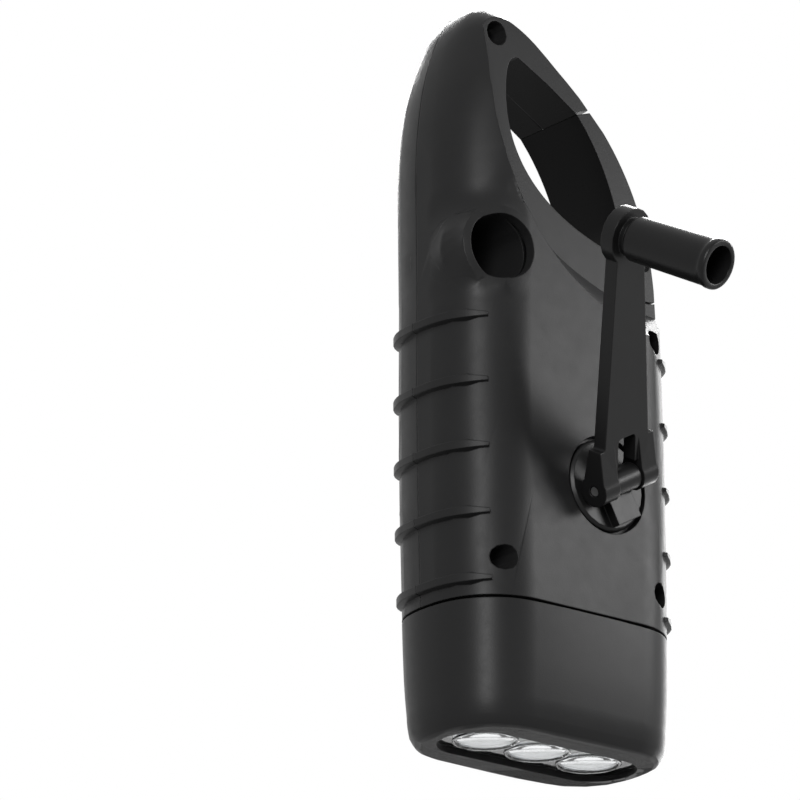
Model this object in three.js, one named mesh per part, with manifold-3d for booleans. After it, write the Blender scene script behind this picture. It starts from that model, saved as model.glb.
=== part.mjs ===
import * as THREE from "three";
import { mergeVertices } from "three/addons/utils/BufferGeometryUtils.js";
import { ConvexGeometry } from "three/addons/geometries/ConvexGeometry.js";
import Module from "manifold-3d";

// Hand crank flashlight with a solar cell and a carabiner top, in millimetres, +Z up.
// It stands on its lens end. -Y is the solar side, +Y the crank side, -X the gate side and +X the spine.

const wasm = await Module();
wasm.setup();

// Running fits and shared values
const gap = 0.3;
const seamGap = 0.15;
const slip = 0.1;
const weld = 0.0001;
const overrun = 6;
const roundSteps = 24;
const smallSteps = 12;
const innerSteps = 16;
const postSteps = 8;
const halvings = 24;

// Casing envelope: the lens head, the body over it and the hook on top
const headTop = 21.4;
const seamHeight = 0.5;
const bodyRise = 56.1;
const hookRise = 52;
const bodyWidth = 47.4;
const bodyDepth = 28;
const cornerRadius = 12;
const wall = 2;
const cornerSteps = 4;
const flankCrown = 0.35;
const flankRings = 3;
const domeShare = 0.98;
const riseShare = 0.99;

const halfWidth = bodyWidth / 2;
const halfDepth = bodyDepth / 2;
const shellBottom = headTop + seamHeight;
const flankTop = shellBottom + bodyRise;
const totalHeight = flankTop + hookRise;
const flankCorner = Math.min(cornerRadius, halfDepth * domeShare);

// Points of the hook's outlines, as shares of half the body's width and of the hook's rise over the flanks:
// the gate side's outer line, the spine's, the crease of the plate, the opening, the gate and the screw
const hookShares = {
  flankPull: [-1, 0.462],
  topPull: [-0.591, 0.731],
  apex: [0.485, 1],
  spineArc: [1, 0.346],
  domeFoot: [0, 0.654],
  creaseTop: [0.675, 0.692],
  creasePull: [0.641, 0.365],
  creaseLow: [0.253, 0.096],
  creaseEnd: [-1.097, 0.029],
  holeBottomLeft: [-0.544, 0.229],
  holeBottom: [-0.35, 0.254],
  holePullA: [0.063, 0.312],
  holePullB: [0.456, 0.433],
  holeRight: [0.46, 0.683],
  holeTopPull: [0.464, 0.831],
  holeTop: [0.338, 0.825],
  splitInner: [-0.215, 0.687],
  splitOuter: [-0.439, 0.723],
  gateInnerPull: [-0.506, 0.538],
  gateInnerLow: [-0.616, 0.308],
  gateFootPull: [-0.624, 0.254],
  gatePin: [-0.84, 0.221],
  topScrew: [0.54, 0.89],
};
const hook = Object.fromEntries(Object.entries(hookShares).map(([name, [x, z]]) => {
  return [name, { x: halfWidth * x, z: flankTop + hookRise * z }];
}));
const { creaseTop, creasePull, creaseLow, creaseEnd } = hook;
const { holeBottomLeft, holeBottom, holePullA, holePullB, holeRight, holeTopPull, holeTop } = hook;
const { splitInner, splitOuter, gateInnerPull, gateInnerLow, gateFootPull } = hook;
const { x: gatePinX, z: gatePinZ } = hook.gatePin;
const spineArcZ = hook.spineArc.z;
const spineArcWidth = 12;
const domeStart = hook.domeFoot.z;

// Carabiner plate, thinner than the body, and the ramps that rise from it
const plateHalf = 7.4;
const rampOver = 2;
const rampTop = halfDepth + rampOver;
const rampRunSpine = 3.6;
const rampRunLow = { x: 2, z: 11 };
const rampRunEnd = 10.5;
const rampSteps = 8;
const steepShare = 2;

// Gate hinge
const gatePinRadius = 1;
const gatePinRecess = 1.4;
const lobeRadius = 6.6;
const lobeEnd = 12;
const tongueHalf = 2.2;
const tongueRadius = 3.4;
const tongueRootRadius = 2.4;
const tongueReach = 9.6;
const tongueLow = -72;
const tongueHigh = -28;
const tongueClearance = 0.4;
const gateSwing = 25;
const slotSpare = 5;
const splitGap = 0.5;
const springWireRadius = 0.3;
const springWireSides = 3;
const springCoilRadius = 2;
const springTurns = 3;
const springPitch = 0.8;
const springStart = 40;
const springLeg = 2.6;
const springSteps = 26;
const springRoom = 5.6;

// Grip ribs on both flanks
const ribCount = 5;
const ribTopDrop = 7.2;
const ribFootRise = 2.9;
const ribTopZ = flankTop - ribTopDrop;
const ribPitch = (bodyRise - ribTopDrop - ribFootRise) / (ribCount - 1);
const ribHeight = 2.4;
const ribProud = 0.9;
const ribSink = 0.6;
const ribSweep = 52;
const ribSteps = 3;
const ribEndShares = [0.45];
const ribFlatShare = 0.55;

// Knob pocket in the spine
const pocketRadius = 5.8;
const pocketWall = 1;
const pocketFloorGap = 0.95;
const pocketFloorRound = 1.2;
const pocketMouthDepth = 2.7;
const pocketMouthY = halfDepth - pocketMouthDepth;
const pocketRimRound = 0.9;
const pocketFlare = 1.6;
const pocketFlareDepth = 5;
const pocketLipShare = 0.33;
const pocketPostRadius = 3;

// Crank hub seat
const hubShare = -0.1857;
const hubX = halfWidth * hubShare;
const hubToCell = 7.8;
const hubSeatRadius = 8.5;
const hubSeatDepth = 1.5;
const hubPadRadius = 9.5;
const hubPadDepth = 1.7;
const hubBossRadius = 5.2;
const hubBossDepth = 2.4;
const bushWall = 0.9;
const bushFlange = 0.6;
const bushFlangeRadius = 4.6;

// Case screws, driven from the crank side
const screwHeadRadius = 1.9;
const screwHeadHeight = 1.4;
const screwShankRadius = 1;
const screwLength = 9;
const screwBoreRadius = 2.2;
const screwBossRadius = 3.5;
const screwSeatY = 4.6;
const lowScrewInset = 6.5;
const lowScrewRise = 6.5;
const midScrewInset = 6.3;
const midScrewDrop = 4.4;
const topScrewSeatY = 2.2;

// Lens head
const headTaperShares = [
  [0, 0.11],
  [0.018, 0.08],
  [0.09, 0.042],
  [0.25, 0.026],
  [0.55, 0.009],
  [1, 0],
];
const headWall = 1.7;
const headFloor = 1.3;
const headStepDrop = 6.8;
const headStepHeight = 2.4;
const collarHeight = 2.1;
const collarWall = 1.5;
const lensOpeningMargin = 4;
const lensOpeningHalfLength = halfWidth - lensOpeningMargin;
const lensOpeningHalfWidth = 7;
const lensOpeningFlat = 0.2;
const lensLip = 0.7;
const lensThickness = 1.4;
const lensDomeHeight = 0.8;
const lensDomeSteps = 3;
const lensDomeSides = 20;
const ledCount = 3;
const ledEndMargin = 2.75;
const ledPitch = (2 * (lensOpeningHalfLength - ledEndMargin)) / ledCount;
const reflectorGap = 0.5;
const reflectorRadius = (ledPitch - reflectorGap) / 2;
const lensDomeInset = 0.1;
const lensDomeRadius = reflectorRadius - lensDomeInset;
const reflectorHeight = 6;
const reflectorThroat = 2.8;
const reflectorSkin = 0.5;
const reflectorRings = 3;
const reflectorSteps = 16;
const ledRadius = 2.4;
const ledFlangeRadius = 2.7;
const ledFlange = 0.9;
const ledBody = 3.4;
const ledDomeSteps = 3;
const ledBoardThickness = 1.2;
const ledBoardEndMargin = 5.2;
const ledBoardSideMargin = 3.8;
const ledBoardCorner = 5;
const headPostRadius = 1.3;
const headPostEndInset = 5.5;
const headPostSideInset = 0.9;

// Solar panel: bezel, window and cell
const bezelSideMargin = 8.4;
const bezelHalfWidth = halfWidth - bezelSideMargin;
const bezelRise = 3.7;
const bezelBottom = shellBottom + bezelRise;
const bezelShoulderDrop = 8;
const bezelShoulder = flankTop - bezelShoulderDrop;
const bezelArch = 4.8;
const bezelCorner = 2.6;
const cornerArchShare = 0.3;
const crestShare = 1.7;
const bezelSunk = 0.25;
const bezelProud = 1.2;
const bezelSeatDepth = 2.8;
const bezelBase = halfDepth - bezelSunk;
const bezelFace = halfDepth + bezelProud;
const bezelSeatY = bezelSeatDepth - halfDepth;
const bezelPadDepth = 1.3;
const bezelPadMargin = 1.6;
const plateauChamfer = 1.8;
const plateauSideMargin = 1.7;
const plateauFootMargin = 1.8;
const plateauTopDrop = 0.6;
const plateauHalfWidth = bezelHalfWidth - plateauSideMargin - plateauChamfer;
const plateauBottom = bezelBottom + plateauFootMargin + plateauChamfer;
const plateauTop = bezelShoulder - plateauTopDrop;
const plateauCorner = 1.9;
const windowSideFrame = 1.7;
const windowEndFrame = 1.9;
const windowHalfWidth = plateauHalfWidth - windowSideFrame;
const windowBottom = plateauBottom + windowEndFrame;
const windowTop = plateauTop - windowEndFrame;
const windowCorner = 1.6;
const windowLip = 1.2;
const windowRecess = 1.9;
const windowThickness = 0.9;
const cellThickness = 0.8;
const cellMargin = 0.4;
const wireSlotHalf = 4;
const wireSlotWidth = 2.4;
const wireSlotCorner = 0.8;

// Crank
const crankAngle = 29;
const crankLift = 31.3;
const crankRadius = 43.7;
const hubDiscRadius = 8;
const hubDiscThickness = 1.3;
const hubDiscProud = 0.1;
const hubDiscChamfer = 0.5;
const pinHeight = 3.1;
const pinRadius = 0.8;
const pinRecess = 0.15;
const barrelRadius = 2.35;
const lugHalfWidth = 2.8;
const lugHalfDepth = 2;
const lugFoot = 6.9;
const lugFootHeight = 1.7;
const earHalfSpan = 6.8;
const earRadius = 2.75;
const earRootHalf = 2.4;
const earWedge = 7.2;
const earRootLength = 5.4;
const shoulderLength = 2.2;
const armThickness = 2.5;
const armRootHalfWidth = 5.5;
const armTipHalfWidth = 3.4;
const armBossRadius = 4.9;
const armBossSteps = 7;
const notchEnd = 3.2;
const reliefHalfWidth = 2.2;
const reliefEnd = 8.2;
const reliefCorner = 0.8;
const knobBaseRadius = 3.8;
const knobRadius = 4.05;
const knobBore = 3.2;
const knobLength = 17.4;
const knobFloor = 2;
const knobRim = 0.2;
const knobRimLength = 1.4;
const collarRadius = 3.3;
const collarLength = 0.9;
const knobPinRadius = 1.1;
const knobPinHeadRadius = 2.2;
const knobPinHead = 1;
const knobPinCap = 0.8;
const knobPinCapRadius = 1.8;

// Gear train: crank gear, two compound gears and the pinion of the rotor, each on its own level of y
const toothAddendumShare = 0.85;
const toothDedendumShare = 1.15;
const toothPitchShare = 0.4;
const flankSlopeShare = 0.38;
const shaftRadius = 2.3;
const shaftEndRadius = 1.2;
const axleRadius = 0.7;
const boreClearance = 0.15;
const crankTeeth = 40;
const pinionTeeth = 10;
const crankGearShare = 0.5063;
const gearModule = (bodyWidth * crankGearShare) / crankTeeth;
const neckShoulder = 0.31;
const gearNeckRadius = gearModule * (pinionTeeth / 2 - toothDedendumShare) - neckShoulder;
const wheelATeeth = 32;
const wheelBTeeth = 26;
const stageAngles = [38, 128, 250];
const crankGearWidth = 2.2;
const wheelWidth = 1.6;
const bossToGear = 0.5;
const levelGap = 1.2;
const neckOverlap = 0.7;
const bossToWheel = 0.7;
const axleSocketDepth = 1.8;
const axleBossRadius = 2;
const gearFrameThickness = 1.2;
const framePostAngles = [-56, 68];
const framePostInset = 8.2;
const framePostToTab = 2.9;
const framePostRadius = 2.5;
const framePostReach = 4.9;
const frameRim = 0.6;
const frameHubRadius = 5;
const frameScrewRadius = 0.8;
const frameScrewHeadRadius = 1.6;
const frameScrewHead = 1;
const frameScrewLength = 5.2;

// Levels of the gear train, each under the one before, from the boss round the crank's bush
const hubSeatY = halfDepth - hubSeatDepth;
const hubBossY = hubSeatY - hubBossDepth;
const crankGearTop = hubBossY - bossToGear;
const crankGearY = crankGearTop - crankGearWidth;
const wheelATop = crankGearY - levelGap;
const wheelAY = wheelATop - wheelWidth;
const wheelBTop = wheelAY - levelGap;
const wheelBY = wheelBTop - wheelWidth;
const frameTop = wheelBY - levelGap;
const gearFrameY = frameTop - gearFrameThickness;
const partToFrame = 0.9;
const partY = gearFrameY - partToFrame;
const axleABossY = crankGearTop + bossToWheel;
const axleBBossY = wheelATop + bossToWheel;

// Power button in the gate-side flank, and the switch behind it
const buttonRise = 31.7;
const buttonZ = shellBottom + buttonRise;
const buttonHalfWidth = 4;
const buttonHalfHeight = 3.1;
const buttonCorner = 1.6;
const buttonEdge = 0.45;
const buttonProud = 0.7;
const buttonClearance = 0.25;
const buttonFlangeGap = 0.1;
const buttonFlangeHalfWidth = 3.9;
const buttonFlangeHalfHeight = 4.1;
const buttonFlangeDepth = 0.9;
const switchGap = 1;
const switchDepth = 3.2;
const switchHeight = 5.6;
const switchAxisDrop = 3.1;
const switchHalfHeight = 2.8;
const switchBoreDepth = 2.2;
const plungerRadius = 1.5;
const plungerLength = 2;

// Main board and the rechargeable cell, which fills the room between the board and the solar frame's pad
const boardToWheel = 0.3;
const boardThickness = 1.2;
const boardY = wheelAY - boardToWheel - boardThickness;
const buttonY = boardY - switchAxisDrop;

// How far the flank's inner face stands in from its middle at a distance from it.
function innerSag(y) {
  const radius = flankCorner - wall;
  const past = Math.max(0, Math.abs(y) - (halfDepth - flankCorner));
  return radius - Math.sqrt(radius * radius - past * past);
}
const buttonEdgeSag = innerSag(Math.abs(buttonY) + buttonFlangeHalfWidth);
const buttonFlangeX = wall + buttonEdgeSag + buttonFlangeGap - halfWidth;
const switchFront = buttonFlangeX + buttonFlangeDepth + switchGap;
const boardSideMargin = 10.5;
const boardHalfWidth = halfWidth - boardSideMargin;
const boardBottom = bezelBottom;
const boardToHub = 6.4;
const boardToBoss = 1.1;
const boardTabInset = 0.2;
const boardTabWidth = 4.8;
const boardTabOver = 4;
const boardTabTop = buttonZ + boardTabOver;
const boardPostInset = 2.7;
const boardPostRise = 2.6;
const boardPostRadius = 1.8;
const cellClearance = 0.4;
const cellEndRoom = 12.2;
const cellHalfLength = halfWidth - cellEndRoom;
const cellRise = 1.4;
const cellTipRadius = 1.8;
const cellTip = 0.8;
const padTopY = bezelSeatY + bezelPadDepth;
const cellRadius = (boardY - padTopY) / 2 - cellClearance;
const cellY = (boardY + padTopY) / 2;
const cellZ = headTop + collarHeight + cellRise + cellRadius;
const hubZ = cellZ + cellRadius + hubToCell;
const boardTop = hubZ - boardToHub;

// Generator, beside the switch and under the gear frame
const statorToSwitch = 2.8;
const statorSkin = 0.8;
const statorFloorGap = 0.6;
const statorLow = padTopY + statorFloorGap;
const rotorRoom = 3.2;
const coilRoom = 2.4;
const rotorHeadroom = 1.8;
const rotorFloorGap = 0.4;
const rotorShaftSunk = 0.2;
const coilFloorGap = 0.9;
const coilHeadroom = 2.5;

// Heights of the casing's sections over the dome, as shares of the stretch above the flank
const crownShares = [0, 0.14, 0.28, 0.42, 0.54, 0.65, 0.75, 0.83, 0.89, 0.935, 0.972, 1];

const ledBoardZ = headFloor + lensThickness + reflectorHeight + gap + ledFlange;
const knobBase = armThickness / 2 + collarLength + gap;
const pocketFloorY = halfDepth + hubDiscProud + pinHeight - knobBase - knobLength - pocketFloorGap;
const rad = THREE.MathUtils.degToRad;
const quarterTurn = Math.PI / 2;
const fullTurn = Math.PI * 2;

// Finishes
function finish(color, roughness, metalness = 0, opacity = 1) {
  const transparent = opacity < 1;
  return new THREE.MeshStandardMaterial({ color, roughness, metalness, opacity, transparent });
}
const casePlastic = finish(0x232323, 0.42);
const crankPlastic = finish(0x1b1b1b, 0.38);
const clearPlastic = finish(0xe8eef0, 0.06, 0, 0.35);
const smokedPlastic = finish(0x2d211b, 0.18, 0, 0.85);
const siliconCell = finish(0x2a1c16, 0.3, 0.1);
const mirrorFoil = finish(0xdfe2e4, 0.08, 1);
const ledResin = finish(0xf2f2e4, 0.1, 0, 0.6);
const boardGreen = finish(0x1f5c38, 0.5);
const steel = finish(0xb8babc, 0.28, 1);
const springSteel = finish(0xa5a7a9, 0.3, 1);
const gearWhite = finish(0xe9e7dc, 0.45);
const frameNylon = finish(0xcfcdc4, 0.5);
const brass = finish(0xb99752, 0.3, 1);
const magnetGrey = finish(0x4a4a4c, 0.5, 0.4);
const copperWire = finish(0xb06a3a, 0.35, 0.8);
const cellWrap = finish(0x2f6a3f, 0.4);
const switchPlastic = finish(0x202022, 0.5);
const buttonRubber = finish(0x1d1d1d, 0.7);

function manifoldOf(vertProperties, triVerts) {
  return new wasm.Manifold(new wasm.Mesh({ numProp: 3, vertProperties, triVerts }));
}

// A closed geometry as a solid for cutting and joining, its faces turned outwards.
function solid(geometry) {
  const bare = geometry.clone();
  for (const name of Object.keys(bare.attributes)) {
    if (name !== "position") bare.deleteAttribute(name);
  }
  const merged = mergeVertices(bare, weld);
  const triVerts = new Uint32Array(merged.index.array);
  const made = manifoldOf(merged.attributes.position.array, triVerts);
  if (made.volume() > 0) return made;
  return manifoldOf(merged.attributes.position.array, triVerts.reverse());
}

// A cut or joined solid back as geometry.
function geometryOf(manifold) {
  const cut = manifold.getMesh();
  const geometry = new THREE.BufferGeometry();
  geometry.setAttribute("position", new THREE.BufferAttribute(cut.vertProperties, 3));
  geometry.setIndex(new THREE.BufferAttribute(cut.triVerts, 1));
  const flat = geometry.toNonIndexed();
  flat.computeVertexNormals();
  return flat;
}

function join(...solids) {
  return solids.reduce((whole, next) => whole.add(next));
}

function node(name, shape, material) {
  const mesh = new THREE.Mesh(geometryOf(shape), material);
  mesh.name = name;
  return mesh;
}

// A solid cylinder along Y, between two values of y.
function rodY(radius, fromY, toY, x, z, steps = roundSteps) {
  const geometry = new THREE.CylinderGeometry(radius, radius, toY - fromY, steps);
  geometry.translate(x, (fromY + toY) / 2, z);
  return solid(geometry);
}

// A solid cylinder along Z.
function rodZ(radius, fromZ, toZ, x, y, steps = smallSteps) {
  const geometry = new THREE.CylinderGeometry(radius, radius, toZ - fromZ, steps);
  geometry.rotateX(quarterTurn);
  geometry.translate(x, y, (fromZ + toZ) / 2);
  return solid(geometry);
}

// A solid cylinder along X.
function rodX(radius, fromX, toX, y, z, steps = roundSteps) {
  const geometry = new THREE.CylinderGeometry(radius, radius, toX - fromX, steps);
  geometry.rotateZ(quarterTurn);
  geometry.translate((fromX + toX) / 2, y, z);
  return solid(geometry);
}

// A turned piece about an axis along Y, from points of radius and y.
function latheY(profile, x, z, steps = roundSteps) {
  const geometry = new THREE.LatheGeometry(profile.map(([r, y]) => new THREE.Vector2(r, y)), steps);
  geometry.translate(x, 0, z);
  return solid(geometry);
}

// A turned piece about an axis along Z, from points of radius and z.
function latheZ(profile, x, y, steps = roundSteps) {
  const geometry = new THREE.LatheGeometry(profile.map(([r, z]) => new THREE.Vector2(r, z)), steps);
  geometry.rotateX(quarterTurn);
  geometry.translate(x, y, 0);
  return solid(geometry);
}

function block(fromX, toX, fromY, toY, fromZ, toZ) {
  const geometry = new THREE.BoxGeometry(toX - fromX, toY - fromY, toZ - fromZ);
  geometry.translate((fromX + toX) / 2, (fromY + toY) / 2, (fromZ + toZ) / 2);
  return solid(geometry);
}

// An outline drawn in x and z, extruded along Y between two values of y.
function slabY(shape, fromY, toY, steps = cornerSteps) {
  const geometry = new THREE.ExtrudeGeometry(shape, {
    depth: toY - fromY,
    bevelEnabled: false,
    curveSegments: steps,
  });
  geometry.rotateX(quarterTurn);
  geometry.translate(0, toY, 0);
  return solid(geometry);
}

function polygon(points) {
  return new THREE.Shape(points.map(([x, z]) => new THREE.Vector2(x, z)));
}

// A closed skin between rings of equal length, capped at both ends.
function loftRings(rings) {
  const count = rings[0].length;
  const positions = rings.flat().flatMap((p) => [p.x, p.y, p.z]);
  const index = [];
  for (let i = 0; i + 1 < rings.length; i += 1) {
    for (let j = 0; j < count; j += 1) {
      const next = (j + 1) % count;
      const a = i * count + j;
      const b = i * count + next;
      index.push(a, b, b + count, a, b + count, a + count);
    }
  }
  const last = (rings.length - 1) * count;
  for (let j = 1; j + 1 < count; j += 1) {
    index.push(0, j + 1, j, last, last + j, last + j + 1);
  }
  const geometry = new THREE.BufferGeometry();
  geometry.setAttribute("position", new THREE.Float32BufferAttribute(positions, 3));
  geometry.setIndex(index);
  return solid(geometry);
}

// A rectangle with round corners as points.
function roundRect(left, right, low, high, radius, steps = cornerSteps) {
  const corners = [
    [right - radius, high - radius],
    [left + radius, high - radius],
    [left + radius, low + radius],
    [right - radius, low + radius],
  ];
  return corners.flatMap(([cx, cy], corner) => {
    return Array.from({ length: steps + 1 }, (_, step) => {
      const angle = quarterTurn * (corner + step / steps);
      return [cx + radius * Math.cos(angle), cy + radius * Math.sin(angle)];
    });
  });
}

function ringX(points, x) {
  return points.map(([y, z]) => new THREE.Vector3(x, y, z));
}

function ringY(points, y) {
  return points.map(([x, z]) => new THREE.Vector3(x, y, z));
}

function ringZ(points, z) {
  return points.map(([x, y]) => new THREE.Vector3(x, y, z));
}

// A point at an angle round another, in x and z.
function around(x, z, radius, degrees) {
  return [x + radius * Math.cos(rad(degrees)), z + radius * Math.sin(rad(degrees))];
}

// The flanks swell a little between the lens head and the plate.
function flankBulge(z) {
  const middle = (shellBottom + flankTop) / 2;
  const share = (z - middle) / (flankTop - middle);
  return flankCrown * Math.max(0, 1 - share * share);
}

// The gate side's outer line as x for a height.
const gateSideLine = new THREE.CubicBezierCurve(
  new THREE.Vector2(-halfWidth, flankTop),
  new THREE.Vector2(hook.flankPull.x, hook.flankPull.z),
  new THREE.Vector2(hook.topPull.x, hook.topPull.z),
  new THREE.Vector2(hook.apex.x, hook.apex.z),
);
function gateSideX(z) {
  if (z <= flankTop) return -halfWidth - flankBulge(z);
  let low = 0;
  let high = 1;
  for (let i = 0; i < halvings; i += 1) {
    const middle = (low + high) / 2;
    if (gateSideLine.getPoint(middle).y < z) low = middle;
    else high = middle;
  }
  return gateSideLine.getPoint(low).x;
}

// How much of a quarter ellipse is left at a height, for the roundings that end at the top.
function leftAt(z, start) {
  const rise = (riseShare * (z - start)) / (totalHeight - start);
  return Math.sqrt(1 - rise * rise);
}

// The spine's outer line: straight, then a quarter ellipse over the top.
function spineX(z) {
  if (z <= spineArcZ) return halfWidth + flankBulge(z);
  return halfWidth - spineArcWidth * (1 - leftAt(z, spineArcZ));
}

// Half the casing's depth, domed at the top.
function depthAt(z) {
  return z <= domeStart ? halfDepth : halfDepth * leftAt(z, domeStart);
}

// One horizontal section of the casing, a given depth under its skin.
function casingRing(z, inset) {
  const left = gateSideX(z) + inset;
  const right = spineX(z) - inset;
  const half = depthAt(z) - inset;
  const radius = Math.min(cornerRadius - inset, half * domeShare, ((right - left) / 2) * domeShare);
  return ringZ(roundRect(left, right, -half, half, radius), z);
}

// Section heights, evenly up the flank from a lowest one and closer together over the dome.
function sectionHeights(lowest) {
  const flank = Array.from({ length: flankRings }, (_, i) => lowest + ((flankTop - lowest) * i) / flankRings);
  return [...flank, ...crownShares.map((share) => flankTop + share * (totalHeight - flankTop))];
}

function outerCasing() {
  return loftRings(sectionHeights(shellBottom).map((z) => casingRing(z, 0)));
}

// The crease line where the thin plate meets the ramps, moved outwards by the runs given.
function creaseOutline(spineRun, lowRun, endRun) {
  const shape = new THREE.Path();
  shape.moveTo(creaseTop.x + spineRun, totalHeight + overrun);
  shape.lineTo(creaseTop.x + spineRun, creaseTop.z);
  shape.bezierCurveTo(
    creasePull.x + spineRun,
    creasePull.z - lowRun.z / 2,
    creaseLow.x + lowRun.x,
    creaseLow.z - lowRun.z,
    creaseEnd.x,
    creaseEnd.z - endRun,
  );
  shape.lineTo(creaseEnd.x - overrun, creaseEnd.z - endRun);
  shape.lineTo(creaseEnd.x - overrun, totalHeight + overrun);
  return shape.getPoints(rampSteps).map((p) => [p.x, p.y]);
}

// The room over one face of the plate, its sides the ramps, set back by an inset.
function scoop(side, inset) {
  const steep = inset * steepShare;
  const foot = creaseOutline(inset, { x: inset, z: steep }, steep);
  const brow = creaseOutline(
    rampRunSpine + inset, { x: rampRunLow.x + inset, z: rampRunLow.z + inset }, rampRunEnd + inset,
  );
  return loftRings([ringY(foot, side * (plateHalf - inset)), ringY(brow, side * (rampTop - inset))]);
}

// The room inside the casing, a given depth under its skin and clear of the plate.
function roomInside(inset) {
  const heights = sectionHeights(shellBottom - overrun).filter((z) => z < domeStart);
  const room = loftRings(heights.map((z) => casingRing(z, inset)));
  const steep = inset * steepShare;
  const keep = creaseOutline(inset, { x: inset, z: steep }, steep);
  const plate = loftRings([ringY(keep, -halfDepth - overrun), ringY(keep, halfDepth + overrun)]);
  return room.subtract(plate).subtract(scoop(1, inset)).subtract(scoop(-1, inset));
}

// The hook opening, drawn counterclockwise.
function holeShape() {
  const shape = new THREE.Shape();
  shape.moveTo(holeBottomLeft.x, holeBottomLeft.z);
  shape.lineTo(holeBottom.x, holeBottom.z);
  shape.bezierCurveTo(
    holePullA.x, holePullA.z, holePullB.x, holePullB.z, holeRight.x, holeRight.z,
  );
  shape.quadraticCurveTo(holeTopPull.x, holeTopPull.z, holeTop.x, holeTop.z);
  shape.lineTo(splitInner.x, splitInner.z);
  shape.quadraticCurveTo(gateInnerPull.x, gateInnerPull.z, gateInnerLow.x, gateInnerLow.z);
  shape.quadraticCurveTo(gateFootPull.x, gateFootPull.z, holeBottomLeft.x, holeBottomLeft.z);
  return shape;
}

// The gate's outline, open to the outside, grown by a clearance at the nose and round the hinge lobe.
function gateShape(noseClearance, lobeClearance) {
  const run = { x: splitOuter.x - splitInner.x, z: splitOuter.z - splitInner.z };
  const length = Math.hypot(run.x, run.z);
  const lift = { x: (run.z / length) * noseClearance, z: (-run.x / length) * noseClearance };
  const far = 1 + (overrun + overrun) / length;
  const outside = gatePinX - lobeRadius - lobeRadius;
  const shape = new THREE.Shape();
  shape.moveTo(splitInner.x + lift.x, splitInner.z + lift.z);
  shape.lineTo(splitInner.x + lift.x + run.x * far, splitInner.z + lift.z + run.z * far);
  shape.lineTo(outside, splitOuter.z);
  shape.lineTo(outside, gatePinZ);
  shape.absarc(gatePinX, gatePinZ, lobeRadius + lobeClearance, rad(180), rad(360 + lobeEnd), false);
  shape.lineTo(gateInnerLow.x, gateInnerLow.z);
  shape.quadraticCurveTo(gateInnerPull.x, gateInnerPull.z, splitInner.x, splitInner.z);
  return shape;
}

// Grip ribs: a rounded band swept round a flank, straight across its flat and thinner towards its ends.
function gripRib(side, z) {
  const cx = halfWidth - flankCorner + flankBulge(z);
  const cy = halfDepth - flankCorner;
  const stations = [];
  for (let step = ribSteps; step >= 0; step -= 1) stations.push([-1, step / ribSteps]);
  for (let step = 0; step <= ribSteps; step += 1) stations.push([1, step / ribSteps]);
  return loftRings(stations.map(([half, share]) => {
    const angle = rad(ribSweep) * share;
    const fromEnd = Math.round((1 - share) * ribSteps);
    const grow = fromEnd < ribEndShares.length ? ribEndShares[fromEnd] : 1;
    const at = (radius, height) => new THREE.Vector3(
      side * (cx + radius * Math.cos(angle)),
      half * (cy + radius * Math.sin(angle)),
      z + height,
    );
    const top = flankCorner + ribProud * grow;
    const reach = (ribHeight / 2) * grow;
    return [
      at(flankCorner - ribSink, -reach),
      at(top, -reach * ribFlatShare),
      at(top, reach * ribFlatShare),
      at(flankCorner - ribSink, reach),
    ];
  }));
}

function gripRibs() {
  const ribs = [];
  for (const side of [-1, 1]) {
    for (let i = 0; i < ribCount; i += 1) {
      ribs.push(gripRib(side, ribTopZ - i * ribPitch));
    }
  }
  return join(...ribs);
}

// Knob pocket: where the folded crank's knob goes, on the line from the hub to the parked knob.
const pocketX = hubX + crankRadius * Math.sin(rad(crankAngle));
const pocketZ = hubZ + crankRadius * Math.cos(rad(crankAngle));

function pocketTube() {
  const outer = pocketRadius + pocketWall;
  const lip = pocketRimRound * pocketLipShare;
  return latheY([
    [0, pocketFloorY - pocketWall],
    [outer - pocketFloorRound, pocketFloorY - pocketWall],
    [outer, pocketFloorY - pocketWall + pocketFloorRound],
    [outer, pocketMouthY - pocketFlareDepth - pocketFlareDepth],
    [outer + pocketFlare, pocketMouthY - pocketFlareDepth],
    [outer + pocketFlare * pocketLipShare, pocketMouthY - pocketRimRound],
    [outer - lip, pocketMouthY - lip],
    [outer - pocketRimRound, pocketMouthY],
    [0, pocketMouthY],
  ], pocketX, pocketZ);
}

const lowScrewX = halfWidth - lowScrewInset;
const lowScrewZ = shellBottom + lowScrewRise;
const screws = [
  { name: "case_screw_low_spine", x: lowScrewX, z: lowScrewZ, seat: screwSeatY },
  { name: "case_screw_low_gate", x: -lowScrewX, z: lowScrewZ, seat: screwSeatY },
  { name: "case_screw_mid", x: midScrewInset - halfWidth, z: flankTop - midScrewDrop, seat: screwSeatY },
  { name: "case_screw_top", x: hook.topScrew.x, z: hook.topScrew.z, seat: topScrewSeatY },
];

// Centres of the gear train, from the crank to the rotor.
const crankCentre = { x: hubX, z: hubZ };
const teethPairs = [crankTeeth + pinionTeeth, wheelATeeth + pinionTeeth, wheelBTeeth + pinionTeeth];
const centres = [crankCentre];
teethPairs.forEach((teeth, i) => {
  const [x, z] = around(centres[i].x, centres[i].z, (gearModule * teeth) / 2, stageAngles[i]);
  centres.push({ x, z });
});
const [, centreA, centreB, rotorCentre] = centres;
const statorRadius = rotorCentre.x - (switchFront + switchDepth) - statorToSwitch;
const wheelATip = gearModule * (wheelATeeth / 2 + toothAddendumShare);

// Posts that carry the gear frame: one above the board's tab and two outside the first wheel.
const framePosts = [
  { x: framePostInset - halfWidth, z: boardTabTop + framePostRadius + framePostToTab },
  ...framePostAngles.map((angle) => {
    const [x, z] = around(centreA.x, centreA.z, wheelATip + framePostReach, angle);
    return { x, z };
  }),
];

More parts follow.
